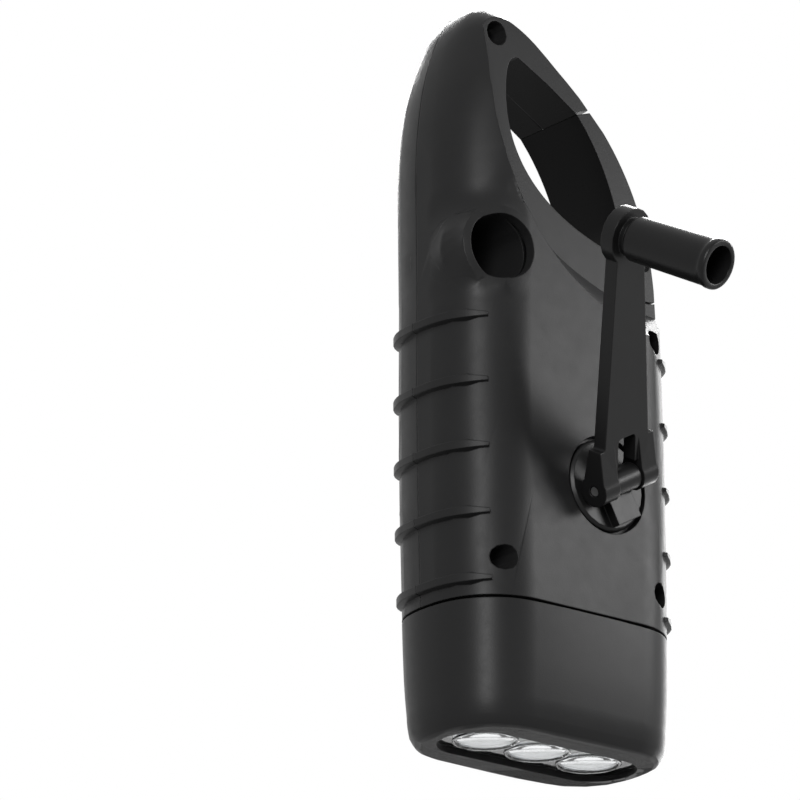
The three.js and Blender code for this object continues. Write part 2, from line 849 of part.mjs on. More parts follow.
// Screw bosses, posts, axle bosses and pads on the inner face of the casing.
function fittings() {
  const root = halfDepth;
  const boardPostX = boardHalfWidth - boardPostInset;
  const boardPostZ = boardBottom + boardPostRise;
  const bosses = screws.filter((screw) => screw.z < domeStart).map((screw) => {
    return rodY(screwBossRadius, -root, root, screw.x, screw.z, postSteps);
  });
  const pieces = [
    ...bosses,
    ...framePosts.map((post) => rodY(framePostRadius, frameTop, root, post.x, post.z, postSteps)),
    rodY(boardPostRadius, boardY + boardThickness, root, boardPostX, boardPostZ, postSteps),
    rodY(boardPostRadius, boardY + boardThickness, root, -boardPostX, boardPostZ, postSteps),
    rodY(axleBossRadius, axleABossY, root, centreA.x, centreA.z, postSteps),
    rodY(axleBossRadius, axleBBossY, root, centreB.x, centreB.z, postSteps),
    rodY(hubPadRadius, hubSeatY - hubPadDepth, root, hubX, hubZ),
    rodY(pocketPostRadius, -root, pocketFloorY - pocketWall / 2, pocketX, pocketZ, postSteps),
    block(
      -bezelHalfWidth - bezelPadMargin, bezelHalfWidth + bezelPadMargin,
      -root, bezelSeatY + bezelPadDepth,
      bezelBottom - bezelPadMargin, bezelShoulder + bezelArch + bezelPadMargin,
    ),
  ];
  return join(...pieces).intersect(roomInside(wall / 2));
}

// The solar frame's outline, straight at its foot and arched at its top.
function bezelOutline(grow) {
  const left = -bezelHalfWidth - grow;
  const right = bezelHalfWidth + grow;
  const low = bezelBottom - grow;
  const corner = bezelCorner + grow;
  const shoulder = bezelShoulder - bezelCorner;
  const arch = bezelShoulder + grow + bezelArch * cornerArchShare;
  const shape = new THREE.Shape();
  shape.moveTo(left + corner, low);
  shape.lineTo(right - corner, low);
  shape.quadraticCurveTo(right, low, right, low + corner);
  shape.lineTo(right, shoulder);
  shape.quadraticCurveTo(right, bezelShoulder + grow, right - corner, arch);
  shape.quadraticCurveTo(0, bezelShoulder + grow + bezelArch * crestShare, left + corner, arch);
  shape.quadraticCurveTo(left, bezelShoulder + grow, left, shoulder);
  shape.lineTo(left, low + corner);
  shape.quadraticCurveTo(left, low, left + corner, low);
  return shape;
}

// Tongue of the casing that enters the gate's slot and carries its pin.
function gateTongue() {
  const round = rodY(tongueRadius, -tongueHalf, tongueHalf, gatePinX, gatePinZ, smallSteps);
  const root = polygon([
    around(gatePinX, gatePinZ, tongueRootRadius, tongueLow),
    around(gatePinX, gatePinZ, tongueReach, tongueLow),
    around(gatePinX, gatePinZ, tongueReach, tongueHigh),
    around(gatePinX, gatePinZ, tongueRootRadius, tongueHigh),
  ]);
  return round.add(slabY(root, -tongueHalf, tongueHalf));
}

// The casing as one body, before it is parted into its two shells.
function casing() {
  const through = halfDepth + overrun;
  return outerCasing()
    .subtract(scoop(1, 0))
    .subtract(scoop(-1, 0))
    .add(gripRibs())
    .subtract(slabY(holeShape(), -through, through, rampSteps))
    .subtract(slabY(gateShape(splitGap, gap), -through, through, rampSteps))
    .add(gateTongue())
    .subtract(roomInside(wall))
    .add(pocketTube())
    .add(fittings());
}

// Everything bored or sunk into the casing.
function casingCuts() {
  const through = halfDepth + overrun;
  const bushHole = shaftRadius + boreClearance + bushWall + slip;
  const wireSlot = polygon(roundRect(
    -wireSlotHalf, wireSlotHalf, windowBottom, windowBottom + wireSlotWidth, wireSlotCorner,
  ));
  const buttonHole = roundRect(
    buttonY - buttonHalfWidth - buttonClearance, buttonY + buttonHalfWidth + buttonClearance,
    buttonZ - buttonHalfHeight - buttonClearance, buttonZ + buttonHalfHeight + buttonClearance,
    buttonCorner,
  );
  const buttonRings = [-halfWidth - overrun, wall + overrun / 2 - halfWidth].map((x) => ringX(buttonHole, x));
  const cuts = [
    rodY(pocketRadius, pocketFloorY, through, pocketX, pocketZ),
    rodY(gatePinRadius + boreClearance, -plateHalf, plateHalf, gatePinX, gatePinZ, smallSteps),
    slabY(bezelOutline(slip + slip), -through, bezelSeatY),
    slabY(wireSlot, bezelSeatY - overrun, bezelSeatY + overrun),
    rodY(hubSeatRadius, hubSeatY, through, hubX, hubZ),
    rodY(bushFlangeRadius + slip, hubSeatY - bushFlange, hubSeatY + overrun, hubX, hubZ),
    rodY(bushHole, crankGearTop, hubSeatY, hubX, hubZ),
    axleSocket(centreA, axleABossY),
    axleSocket(centreB, axleBBossY),
    loftRings(buttonRings),
  ];
  for (const { x, z, seat } of screws) {
    cuts.push(rodY(screwBoreRadius, seat, through, x, z, smallSteps));
    cuts.push(rodY(screwShankRadius + slip, seat - screwLength, seat + slip, x, z, smallSteps));
  }
  for (const { x, z } of framePosts) {
    const screwEnd = frameTop + frameScrewLength;
    cuts.push(rodY(frameScrewRadius + slip, frameTop - overrun, screwEnd, x, z, smallSteps));
  }
  return cuts;
}

function axleSocket(centre, bossY) {
  return rodY(axleRadius + slip, bossY - overrun, bossY + axleSocketDepth, centre.x, centre.z, smallSteps);
}

// Boss round the crank's bush, joined after the pad behind the seat.
function hubBoss() {
  return rodY(hubBossRadius, hubBossY, hubSeatY - hubPadDepth / 2, hubX, hubZ);
}

function shells() {
  const whole = casing().add(hubBoss());
  const body = casingCuts().reduce((rest, cut) => rest.subtract(cut), whole);
  const reach = halfWidth + overrun;
  const through = halfDepth + overrun;
  const front = block(-reach, reach, -through, partY - seamGap / 2, 0, totalHeight + overrun);
  const back = block(-reach, reach, partY + seamGap / 2, through, 0, totalHeight + overrun);
  return [
    node("front_shell", body.intersect(front), casePlastic),
    node("back_shell", body.intersect(back), casePlastic),
  ];
}

// How far the lens head is drawn in at a height.
function headInset(z) {
  const share = z / headTop;
  const i = headTaperShares.findIndex(([height]) => height >= share);
  if (i <= 0) return halfWidth * headTaperShares[Math.max(i, 0)][1];
  const [lowHeight, lowInset] = headTaperShares[i - 1];
  const [highHeight, highInset] = headTaperShares[i];
  const part = (share - lowHeight) / (highHeight - lowHeight);
  return halfWidth * (lowInset + (highInset - lowInset) * part);
}

function headRing(z, inset) {
  const total = headInset(Math.min(z, headTop)) + inset;
  const half = halfDepth - total;
  return ringZ(roundRect(total - halfWidth, halfWidth - total, -half, half, cornerRadius - total), z);
}

// Lens head: a cap drawn in towards its rim, with a collar that enters the shells and posts for the board.
function headCap() {
  const outer = loftRings(headTaperShares.map(([share]) => headRing(share * headTop, 0)));
  const collarInset = wall + gap;
  const collarTop = headTop + collarHeight;
  const stepLow = headTop - headStepDrop;
  const stepHigh = stepLow + headStepHeight;
  const postX = halfWidth - ledBoardEndMargin - headPostEndInset;
  const postY = halfDepth - ledBoardSideMargin - headPostSideInset;
  const collar = loftRings([stepHigh, collarTop].map((z) => headRing(z, collarInset)));
  const room = loftRings([
    headRing(headFloor, headWall),
    headRing(stepLow, headWall),
    headRing(stepHigh, collarInset + collarWall),
    headRing(collarTop + overrun, collarInset + collarWall),
  ]);
  const opening = loftRings([-overrun, headFloor + slip].map((z) => ringZ(lensOutline(0), z)));
  const posts = [-1, 1].flatMap((sx) => [-1, 1].map((sy) => {
    return rodZ(headPostRadius, headFloor / 2, ledBoardZ, sx * postX, sy * postY, postSteps);
  }));
  const cap = outer.add(collar).subtract(room).subtract(opening).add(join(...posts));
  return node("head_cap", cap, casePlastic);
}

function lensOutline(grow) {
  const length = lensOpeningHalfLength + grow;
  const width = lensOpeningHalfWidth + grow;
  return roundRect(-length, length, -width, width, width - lensOpeningFlat);
}

// Points of a quarter ellipse from its crown on the axis to its rim, going down from a height.
function crown(radius, height, top, steps) {
  return Array.from({ length: steps + 1 }, (_, i) => {
    const angle = (quarterTurn * i) / steps;
    return [radius * Math.sin(angle), top - height * Math.cos(angle)];
  });
}

// Clear lens plate with a low dome in front of each LED.
function lens() {
  const back = headFloor + lensThickness;
  const plate = loftRings([ringZ(lensOutline(lensLip), headFloor), ringZ(lensOutline(lensLip), back)]);
  const domes = [-1, 0, 1].map((i) => latheZ([
    ...crown(lensDomeRadius, lensDomeHeight, headFloor, lensDomeSteps),
    [lensDomeRadius, headFloor + lensThickness / 2],
    [0, headFloor + lensThickness / 2],
  ], i * ledPitch, 0, lensDomeSides));
  return node("lens", plate.add(join(...domes)), clearPlastic);
}

// Cup reflectors between the lens and the LEDs, parabolas of equal skin.
function reflectors() {
  const mouth = headFloor + lensThickness;
  const wide = reflectorRadius - reflectorSkin;
  const inner = Array.from({ length: reflectorRings + 1 }, (_, i) => {
    const share = i / reflectorRings;
    const square = wide * wide + (reflectorThroat * reflectorThroat - wide * wide) * share;
    return [Math.sqrt(square), mouth + share * reflectorHeight];
  });
  const outer = inner.map(([r, z]) => [r + reflectorSkin, z]).reverse();
  return [-1, 0, 1].map((i) => {
    const cup = latheZ([...inner, ...outer, inner[0]], i * ledPitch, 0, reflectorSteps);
    return node(`reflector_${i + 2}`, cup, mirrorFoil);
  });
}

// LEDs with a flange seated on their board and a domed end in the reflector's throat.
function leds() {
  const seat = ledBoardZ;
  const end = seat - ledBody;
  return [-1, 0, 1].map((i) => {
    const body = latheZ([
      ...crown(ledRadius, ledRadius, end, ledDomeSteps),
      [ledRadius, seat - ledFlange],
      [ledFlangeRadius, seat - ledFlange],
      [ledFlangeRadius, seat],
      [0, seat],
    ], i * ledPitch, 0, smallSteps);
    return node(`led_${i + 2}`, body, ledResin);
  });
}

function ledBoard() {
  const length = halfWidth - ledBoardEndMargin;
  const width = halfDepth - ledBoardSideMargin;
  const outline = roundRect(-length, length, -width, width, ledBoardCorner);
  return node("led_board", loftRings([
    ringZ(outline, ledBoardZ),
    ringZ(outline, ledBoardZ + ledBoardThickness),
  ]), boardGreen);
}

// A plate with the window's shape, grown by a margin, between two values of y.
function windowPlate(grow, fromY, toY) {
  const outline = roundRect(
    -windowHalfWidth - grow, windowHalfWidth + grow, windowBottom - grow, windowTop + grow, windowCorner,
  );
  return loftRings([ringY(outline, fromY), ringY(outline, toY)]);
}

// Solar frame with a chamfered plateau round the window and a rebate behind it for pane and cell.
function solarPanel() {
  const foot = roundRect(
    -plateauHalfWidth - plateauChamfer, plateauHalfWidth + plateauChamfer,
    plateauBottom - plateauChamfer, plateauTop + plateauChamfer, plateauCorner + plateauChamfer / 2,
  );
  const face = roundRect(-plateauHalfWidth, plateauHalfWidth, plateauBottom, plateauTop, plateauCorner);
  const plateau = loftRings([
    ringY(foot, bezelSeatY - bezelPadDepth),
    ringY(foot, -bezelBase),
    ringY(face, -bezelFace),
  ]);
  const paneY = windowRecess - bezelFace;
  const frame = slabY(bezelOutline(0), -bezelBase, bezelSeatY)
    .add(plateau)
    .subtract(windowPlate(0, -bezelFace - overrun, paneY + slip))
    .subtract(windowPlate(windowLip, paneY, bezelSeatY + overrun));
  const cellFront = paneY + windowThickness;
  const siliconMargin = windowLip - cellMargin;
  return [
    node("solar_bezel", frame, casePlastic),
    node("solar_window", windowPlate(windowLip - slip, paneY, cellFront), smokedPlastic),
    node("solar_cell", windowPlate(siliconMargin, cellFront, cellFront + cellThickness), siliconCell),
  ];
}

// Gate of the hook: the casing's own skin, slotted for the tongue and hollow round its pin and spring.
function gate() {
  const slotHalf = tongueHalf + tongueClearance;
  const reach = lobeRadius + lobeRadius;
  const low = tongueLow - slotSpare;
  const high = tongueHigh + gateSwing + slotSpare;
  const sweep = polygon([
    [gatePinX, gatePinZ],
    around(gatePinX, gatePinZ, reach, low),
    around(gatePinX, gatePinZ, reach, (low + high) / 2),
    around(gatePinX, gatePinZ, reach, high),
  ]);
  const body = outerCasing()
    .intersect(slabY(gateShape(0, 0), -plateHalf, plateHalf, rampSteps))
    .subtract(slabY(sweep, -slotHalf, slotHalf))
    .subtract(rodY(tongueRadius + tongueClearance, -slotHalf, springRoom, gatePinX, gatePinZ))
    .subtract(rodY(gatePinRadius + slip, -halfDepth, halfDepth, gatePinX, gatePinZ, smallSteps));
  const pin = rodY(
    gatePinRadius, gatePinRecess - plateHalf, plateHalf - gatePinRecess, gatePinX, gatePinZ, smallSteps,
  );
  return [node("gate", body, casePlastic), node("gate_pin", pin, steel)];
}

// Centre line of the gate's spring: a short leg, then turns round the pin.
class SpringLine extends THREE.Curve {
  getPoint(t, target = new THREE.Vector3()) {
    const turnLength = fullTurn * springCoilRadius * springTurns;
    const run = t * (springLeg + turnLength) - springLeg;
    const angle = rad(springStart) + Math.max(run, 0) / springCoilRadius;
    const back = Math.min(run, 0);
    const startY = tongueHalf + springWireRadius + slip + slip;
    return target.set(
      gatePinX + springCoilRadius * Math.cos(angle) - back * Math.sin(angle),
      startY + (springPitch * springTurns * Math.max(run, 0)) / turnLength,
      gatePinZ + springCoilRadius * Math.sin(angle) + back * Math.cos(angle),
    );
  }
}

function gateSpring() {
  const wire = new THREE.Shape();
  wire.absarc(0, 0, springWireRadius, 0, fullTurn, false);
  const geometry = new THREE.ExtrudeGeometry(wire, {
    steps: springSteps,
    curveSegments: springWireSides,
    extrudePath: new SpringLine(),
  });
  return node("gate_spring", solid(geometry), springSteel);
}

// A spur gear's outline with straight-flanked teeth, one of them centred on an angle.
function gearOutline(teeth, centre, toothAngle) {
  const pitchRadius = (gearModule * teeth) / 2;
  const half = (Math.PI * gearModule * toothPitchShare) / 2;
  const tip = gearModule * toothAddendumShare;
  const root = gearModule * toothDedendumShare;
  const points = [];
  for (let i = 0; i < teeth; i += 1) {
    const middle = toothAngle + (360 * i) / teeth;
    const corner = (radius, arc) => {
      return around(centre.x, centre.z, radius, middle + THREE.MathUtils.radToDeg(arc / radius));
    };
    const rootHalf = half + root * flankSlopeShare;
    const tipHalf = half - tip * flankSlopeShare;
    points.push(
      corner(pitchRadius - root, -rootHalf),
      corner(pitchRadius + tip, -tipHalf),
      corner(pitchRadius + tip, tipHalf),
      corner(pitchRadius - root, rootHalf),
    );
  }
  return polygon(points);
}

// The angle at which a driven gear shows a tooth, so that a gap of its own meets the driver's tooth.
function meshAngle(teeth, lineAngle) {
  return lineAngle + 180 + 180 / teeth;
}

// A wheel and a pinion on one neck, bored for their axle.
function compoundGear(centre, teeth, wheelY, wheelAngle, pinionAngle, pinionY, pinionTop) {
  const { x, z } = centre;
  return slabY(gearOutline(teeth, centre, wheelAngle), wheelY, wheelY + wheelWidth)
    .add(rodY(gearNeckRadius, wheelY + neckOverlap, pinionY + neckOverlap, x, z, smallSteps))
    .add(slabY(gearOutline(pinionTeeth, centre, pinionAngle), pinionY, pinionTop))
    .subtract(rodY(axleRadius + boreClearance, wheelY - overrun, pinionTop + overrun, x, z, smallSteps));
}

// Crank gear, the two compound gears and their axles.
function gearTrain() {
  const [toA, toB, toRotor] = stageAngles;
  const crankGear = slabY(gearOutline(crankTeeth, crankCentre, toA), crankGearY, crankGearTop)
    .subtract(rodY(shaftRadius + slip, crankGearY - overrun, crankGearTop + overrun, hubX, hubZ));
  const gearA = compoundGear(
    centreA, wheelATeeth, wheelAY, toB, meshAngle(pinionTeeth, toA), crankGearY, crankGearTop,
  );
  const gearB = compoundGear(
    centreB, wheelBTeeth, wheelBY, toRotor, meshAngle(pinionTeeth, toB), wheelAY, wheelATop,
  );
  const axle = (centre, bossY) => {
    const top = bossY + axleSocketDepth - gap;
    return rodY(axleRadius, gearFrameY + slip, top, centre.x, centre.z, smallSteps);
  };
  return [
    node("crank_gear", crankGear, gearWhite),
    node("gear_a", gearA, gearWhite),
    node("gear_b", gearB, gearWhite),
    node("axle_a", axle(centreA, axleABossY), steel),
    node("axle_b", axle(centreB, axleBBossY), steel),
  ];
}

// A plate stretched round discs, each given as a centre and a radius.
function plateRound(discs, fromY, toY) {
  const points = discs.flatMap(([centre, radius]) => {
    return Array.from({ length: smallSteps }, (_, i) => {
      const [x, z] = around(centre.x, centre.z, radius, (360 * i) / smallSteps);
      return [new THREE.Vector3(x, fromY, z), new THREE.Vector3(x, toY, z)];
    }).flat();
  });
  return solid(new ConvexGeometry(points));
}

// Plate that carries the axles and the generator, screwed to the back shell's posts.
function gearFrame() {
  const low = gearFrameY - overrun;
  const high = frameTop + overrun;
  const hole = (radius, centre) => rodY(radius, low, high, centre.x, centre.z, smallSteps);
  const holes = [
    hole(shaftEndRadius + boreClearance, crankCentre),
    hole(axleRadius + slip, centreA),
    hole(axleRadius + slip, centreB),
    hole(axleRadius + boreClearance, rotorCentre),
    ...framePosts.map((post) => hole(frameScrewRadius + slip, post)),
  ];
  const rims = framePosts.map((post) => [post, framePostRadius + frameRim]);
  const pocketNotch = rodY(pocketRadius + pocketWall + gap, low, high, pocketX, pocketZ);
  const plate = plateRound([[crankCentre, frameHubRadius], ...rims], gearFrameY, frameTop)
    .subtract(join(...holes))
    .subtract(pocketNotch);
  const frameScrews = framePosts.map((post, i) => node(`frame_screw_${i + 1}`, latheY([
    [0, gearFrameY - frameScrewHead],
    [frameScrewHeadRadius, gearFrameY - frameScrewHead],
    [frameScrewHeadRadius, gearFrameY],
    [frameScrewRadius, gearFrameY],
    [frameScrewRadius, gearFrameY + frameScrewLength],
    [0, gearFrameY + frameScrewLength],
  ], post.x, post.z, smallSteps), steel));
  return [node("gear_frame", plate, frameNylon), ...frameScrews];
}

// Generator: a magnet rotor on its shaft with the last pinion, inside a coil and an iron can.
function generator() {
  const { x, z } = rotorCentre;
  const fit = axleRadius + boreClearance / 2;
  const pass = axleRadius + boreClearance;
  const floorY = statorLow + statorSkin;
  const inner = statorRadius - statorSkin;
  const ring = (inside, outside, from, to) => latheY([
    [inside, from], [outside, from], [outside, to], [inside, to], [inside, from],
  ], x, z, innerSteps);
  const pinionAngle = meshAngle(pinionTeeth, stageAngles[2]);
  const pinion = slabY(gearOutline(pinionTeeth, rotorCentre, pinionAngle), wheelBY, wheelBTop)
    .subtract(rodY(fit, wheelBY - overrun, wheelBTop + overrun, x, z, smallSteps));
  const can = latheY([
    [pass, statorLow],
    [statorRadius, statorLow],
    [statorRadius, gearFrameY],
    [inner, gearFrameY],
    [inner, floorY],
    [pass, floorY],
    [pass, statorLow],
  ], x, z, innerSteps);
  const magnet = ring(fit, statorRadius - rotorRoom, floorY + rotorFloorGap, gearFrameY - rotorHeadroom);
  const shaft = rodY(axleRadius, statorLow + rotorShaftSunk, wheelBTop + gap, x, z, smallSteps);
  const coil = ring(statorRadius - coilRoom, inner - slip, floorY + coilFloorGap, gearFrameY - coilHeadroom);
  return [
    node("rotor_magnet", magnet, magnetGrey),
    node("rotor_shaft", shaft, steel),
    node("rotor_pinion", pinion, brass),
    node("stator_can", can, steel),
    node("stator_coil", coil, copperWire),
  ];
}

// Rechargeable cell, main board and the side switch with its button.
function electricParts() {
  const cell = rodX(cellRadius, -cellHalfLength, cellHalfLength, cellY, cellZ)
    .add(rodX(cellTipRadius, 0, cellHalfLength + cellTip, cellY, cellZ, smallSteps));
  const tabLeft = switchFront + boardTabInset;
  const tabRight = tabLeft + boardTabWidth;
  const armBottom = lowScrewZ + screwBossRadius + boardToBoss;
  const board = slabY(polygon([
    [-boardHalfWidth, boardBottom], [boardHalfWidth, boardBottom], [boardHalfWidth, boardTop],
    [tabRight, boardTop], [tabRight, boardTabTop], [tabLeft, boardTabTop],
    [tabLeft, armBottom], [-boardHalfWidth, armBottom],
  ]), boardY, boardY + boardThickness);
  const boreRadius = plungerRadius + boreClearance;
  const boreEnd = switchFront + switchBoreDepth;
  const bore = rodX(boreRadius, switchFront - overrun, boreEnd, buttonY, buttonZ, smallSteps);
  const body = block(
    switchFront, switchFront + switchDepth,
    boardY - switchHeight, boardY,
    buttonZ - switchHalfHeight, buttonZ + switchHalfHeight,
  ).subtract(bore);
  const flangeBack = buttonFlangeX + buttonFlangeDepth;
  const plunger = rodX(plungerRadius, flangeBack, flangeBack + plungerLength, buttonY, buttonZ, smallSteps);
  return [
    node("rechargeable_cell", cell, cellWrap),
    node("main_board", board, boardGreen),
    node("switch_body", body, switchPlastic),
    node("switch_plunger", plunger, switchPlastic),
    node("power_button", powerButton(), buttonRubber),
  ];
}

// Button: a rounded pad through the gate-side flank with a flange behind the wall.
function powerButton() {
  const face = -halfWidth - flankBulge(buttonZ) - buttonProud;
  const pad = (shrink) => roundRect(
    buttonY - buttonHalfWidth + shrink, buttonY + buttonHalfWidth - shrink,
    buttonZ - buttonHalfHeight + shrink, buttonZ + buttonHalfHeight - shrink, buttonCorner - shrink,
  );
  const flange = roundRect(
    buttonY - buttonFlangeHalfWidth, buttonY + buttonFlangeHalfWidth,
    buttonZ - buttonFlangeHalfHeight, buttonZ + buttonFlangeHalfHeight, buttonCorner,
  );
  const flangeBack = buttonFlangeX + buttonFlangeDepth;
  return loftRings([
    ringX(pad(buttonEdge), face),
    ringX(pad(0), face + buttonEdge),
    ringX(pad(0), buttonFlangeX + buttonFlangeDepth / 2),
  ]).add(loftRings([ringX(flange, buttonFlangeX), ringX(flange, flangeBack)]));
}

// Case screws, their heads seated deep in the bores of the back shell.
function caseScrews() {
  return screws.map(({ name, x, z, seat }) => node(name, latheY([
    [0, seat - screwLength + gap],
    [screwShankRadius, seat - screwLength + gap],
    [screwShankRadius, seat],
    [screwHeadRadius, seat],
    [screwHeadRadius, seat + screwHeadHeight],
    [0, seat + screwHeadHeight],
  ], x, z, smallSteps), steel));
}

// Crank bush and shaft, which stay in line with the casing.
function crankBearing() {
  const bore = shaftRadius + boreClearance;
  const seat = hubSeatY;
  const discBottom = halfDepth + hubDiscProud - hubDiscThickness;
  const bush = latheY([
    [bore, hubBossY],
    [bore + bushWall, hubBossY],
    [bore + bushWall, seat - bushFlange],
    [bushFlangeRadius, seat - bushFlange],
    [bushFlangeRadius, seat],
    [bore, seat],
    [bore, hubBossY],
  ], hubX, hubZ, innerSteps);
  const shaft = latheY([
    [0, gearFrameY + gap],
    [shaftEndRadius, gearFrameY + gap],
    [shaftEndRadius, frameTop + gap],
    [shaftRadius, frameTop + gap],
    [shaftRadius, discBottom],
    [0, discBottom],
  ], hubX, hubZ, innerSteps);
  return [node("crank_bush", bush, brass), node("crank_shaft", shaft, steel)];
}

// Crank hub: a disc in the casing's seat with a lug that holds the arm's hinge pin.
function crankHub() {
  const disc = latheY([
    [0, -hubDiscThickness],
    [hubDiscRadius, -hubDiscThickness],
    [hubDiscRadius, -hubDiscChamfer],
    [hubDiscRadius - hubDiscChamfer, 0],
    [0, 0],
  ], 0, 0);
  const sunk = -hubDiscThickness / 2;
  const lug = rodX(barrelRadius, -lugHalfWidth, lugHalfWidth, pinHeight, 0)
    .add(block(-lugHalfWidth, lugHalfWidth, sunk, pinHeight, -lugHalfDepth, lugHalfDepth))
    .add(block(-lugHalfWidth, lugHalfWidth, sunk, lugFootHeight, -lugFoot, 0))
    .subtract(rodX(pinRadius + slip, -earHalfSpan, earHalfSpan, pinHeight, 0, smallSteps));
  const pinHalf = earHalfSpan - pinRecess;
  return [
    node("crank_hub", disc.add(lug), crankPlastic),
    node("hinge_pin", rodX(pinRadius, -pinHalf, pinHalf, pinHeight, 0, smallSteps), steel),
  ];
}

// Crank arm, from its two ears to the boss that carries the knob, with Z along it and Y along the knob.
function crankArm() {
  const half = armThickness / 2;
  const bossAngle = Math.asin(armTipHalfWidth / armBossRadius);
  const outline = new THREE.Shape();
  outline.moveTo(-earHalfSpan, 0);
  outline.lineTo(earHalfSpan, 0);
  outline.lineTo(earHalfSpan, earRootLength);
  outline.lineTo(armRootHalfWidth, earRootLength + shoulderLength);
  const bossStart = bossAngle - quarterTurn;
  outline.absarc(0, crankRadius, armBossRadius, bossStart, Math.PI - bossStart, false);
  outline.lineTo(-armRootHalfWidth, earRootLength + shoulderLength);
  outline.lineTo(-earHalfSpan, earRootLength);
  const earFrom = lugHalfWidth + gap;
  const wedge = [[-earRootHalf, 0], [earRootHalf, 0], [half, earWedge], [-half, earWedge]];
  const ear = (from, to) => {
    return rodX(earRadius, from, to, 0, 0, innerSteps).add(loftRings([ringX(wedge, from), ringX(wedge, to)]));
  };
  const relief = polygon(roundRect(-reliefHalfWidth, reliefHalfWidth, 0, reliefEnd, reliefCorner));
  const body = slabY(outline, -half, half, armBossSteps)
    .add(rodY(collarRadius, 0, half + collarLength, 0, crankRadius))
    .subtract(block(-earFrom, earFrom, -overrun, overrun, -overrun, notchEnd))
    .subtract(slabY(relief, -overrun, overrun))
    .add(ear(earFrom, earHalfSpan))
    .add(ear(-earHalfSpan, -earFrom))
    .subtract(rodX(pinRadius + boreClearance, -crankRadius, crankRadius, 0, 0, smallSteps))
    .subtract(rodY(knobPinRadius + slip, -overrun, overrun, 0, crankRadius, smallSteps))
    .subtract(rodY(knobPinHeadRadius + slip, -overrun, knobPinHead - half, 0, crankRadius, smallSteps));
  const pinTop = knobBase + knobFloor + gap;
  const pin = latheY([
    [0, -half],
    [knobPinHeadRadius, -half],
    [knobPinHeadRadius, knobPinHead - half - slip],
    [knobPinRadius, knobPinHead - half - slip],
    [knobPinRadius, pinTop],
    [knobPinCapRadius, pinTop],
    [knobPinCapRadius, pinTop + knobPinCap],
    [0, pinTop + knobPinCap],
  ], 0, crankRadius, smallSteps);
  return [node("crank_arm", body, crankPlastic), node("knob_pin", pin, steel)];
}

// Hollow knob, open at its far end, that turns on the knob pin.
function crankKnob() {
  const bore = knobPinRadius + boreClearance;
  const end = knobBase + knobLength;
  const body = latheY([
    [bore, knobBase],
    [knobBaseRadius, knobBase],
    [knobRadius, end - knobRimLength],
    [knobRadius + knobRim, end - knobRimLength + knobRim],
    [knobRadius + knobRim, end - knobRim],
    [knobRadius, end],
    [knobBore, end],
    [knobBore, knobBase + knobFloor],
    [bore, knobBase + knobFloor],
    [bore, knobBase],
  ], 0, crankRadius);
  return node("crank_knob", body, crankPlastic);
}

// Everything that turns with the crank's hub, at its photographed angle, and the arm folded out from it.
function crank() {
  const hub = new THREE.Group();
  hub.position.set(hubX, halfDepth + hubDiscProud, hubZ);
  hub.rotation.y = rad(crankAngle);
  hub.add(...crankHub());
  const arm = new THREE.Group();
  arm.position.set(0, pinHeight, 0);
  arm.rotation.x = -rad(crankLift);
  arm.add(...crankArm(), crankKnob());
  hub.add(arm);
  return hub;
}

const part = new THREE.Group();
part.add(
  ...shells(), headCap(), lens(), ...reflectors(), ...leds(), ledBoard(), ...solarPanel(),
  ...gate(), gateSpring(), ...crankBearing(), crank(), ...gearTrain(), ...gearFrame(),
  ...generator(), ...electricParts(), ...caseScrews(),
);

// The part's origin is the middle of its lowest face, so the whole assembly is moved there.
const extent = new THREE.Box3().setFromObject(part);
part.position.set(-(extent.min.x + extent.max.x) / 2, -(extent.min.y + extent.max.y) / 2, -extent.min.z);

export default part;
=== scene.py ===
"""Hand crank flashlight with a solar window and a carabiner top.

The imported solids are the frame. Lengths are metres; millimetres are written as n * mm.
"""
import math

import bpy
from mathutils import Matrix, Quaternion, Vector
from mathutils.bvhtree import BVHTree
from mathutils.kdtree import KDTree


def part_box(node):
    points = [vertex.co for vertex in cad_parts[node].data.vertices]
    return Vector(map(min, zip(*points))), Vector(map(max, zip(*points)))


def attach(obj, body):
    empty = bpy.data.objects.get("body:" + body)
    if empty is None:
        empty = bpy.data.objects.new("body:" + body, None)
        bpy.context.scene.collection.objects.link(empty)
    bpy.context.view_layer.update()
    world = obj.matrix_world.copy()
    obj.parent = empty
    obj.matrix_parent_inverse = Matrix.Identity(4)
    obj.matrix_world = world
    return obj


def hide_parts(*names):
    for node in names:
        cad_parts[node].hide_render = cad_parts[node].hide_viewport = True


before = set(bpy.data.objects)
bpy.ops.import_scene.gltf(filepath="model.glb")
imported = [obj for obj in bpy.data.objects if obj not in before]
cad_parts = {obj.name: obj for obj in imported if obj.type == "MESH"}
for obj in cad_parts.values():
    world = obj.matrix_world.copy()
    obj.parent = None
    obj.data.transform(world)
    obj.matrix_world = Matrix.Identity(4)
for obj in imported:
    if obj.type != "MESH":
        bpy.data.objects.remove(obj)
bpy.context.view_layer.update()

# ---- Camera ------------------------------------------------------------------------
# A long lens a metre away, below the flashlight and on its crank side, looking up
# across the closed spine of the hook. It is aimed so that the case stands right of
# the middle of the picture.
mm = 0.001
low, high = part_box("head_cap")
case_axis = Vector(((low.x + high.x) / 2, (low.y + high.y) / 2, 0))


def on_case(x, y, z):
    """A point in millimetres from the case's upright axis and the lens rim."""
    return case_axis + Vector((x, y, z)) * mm


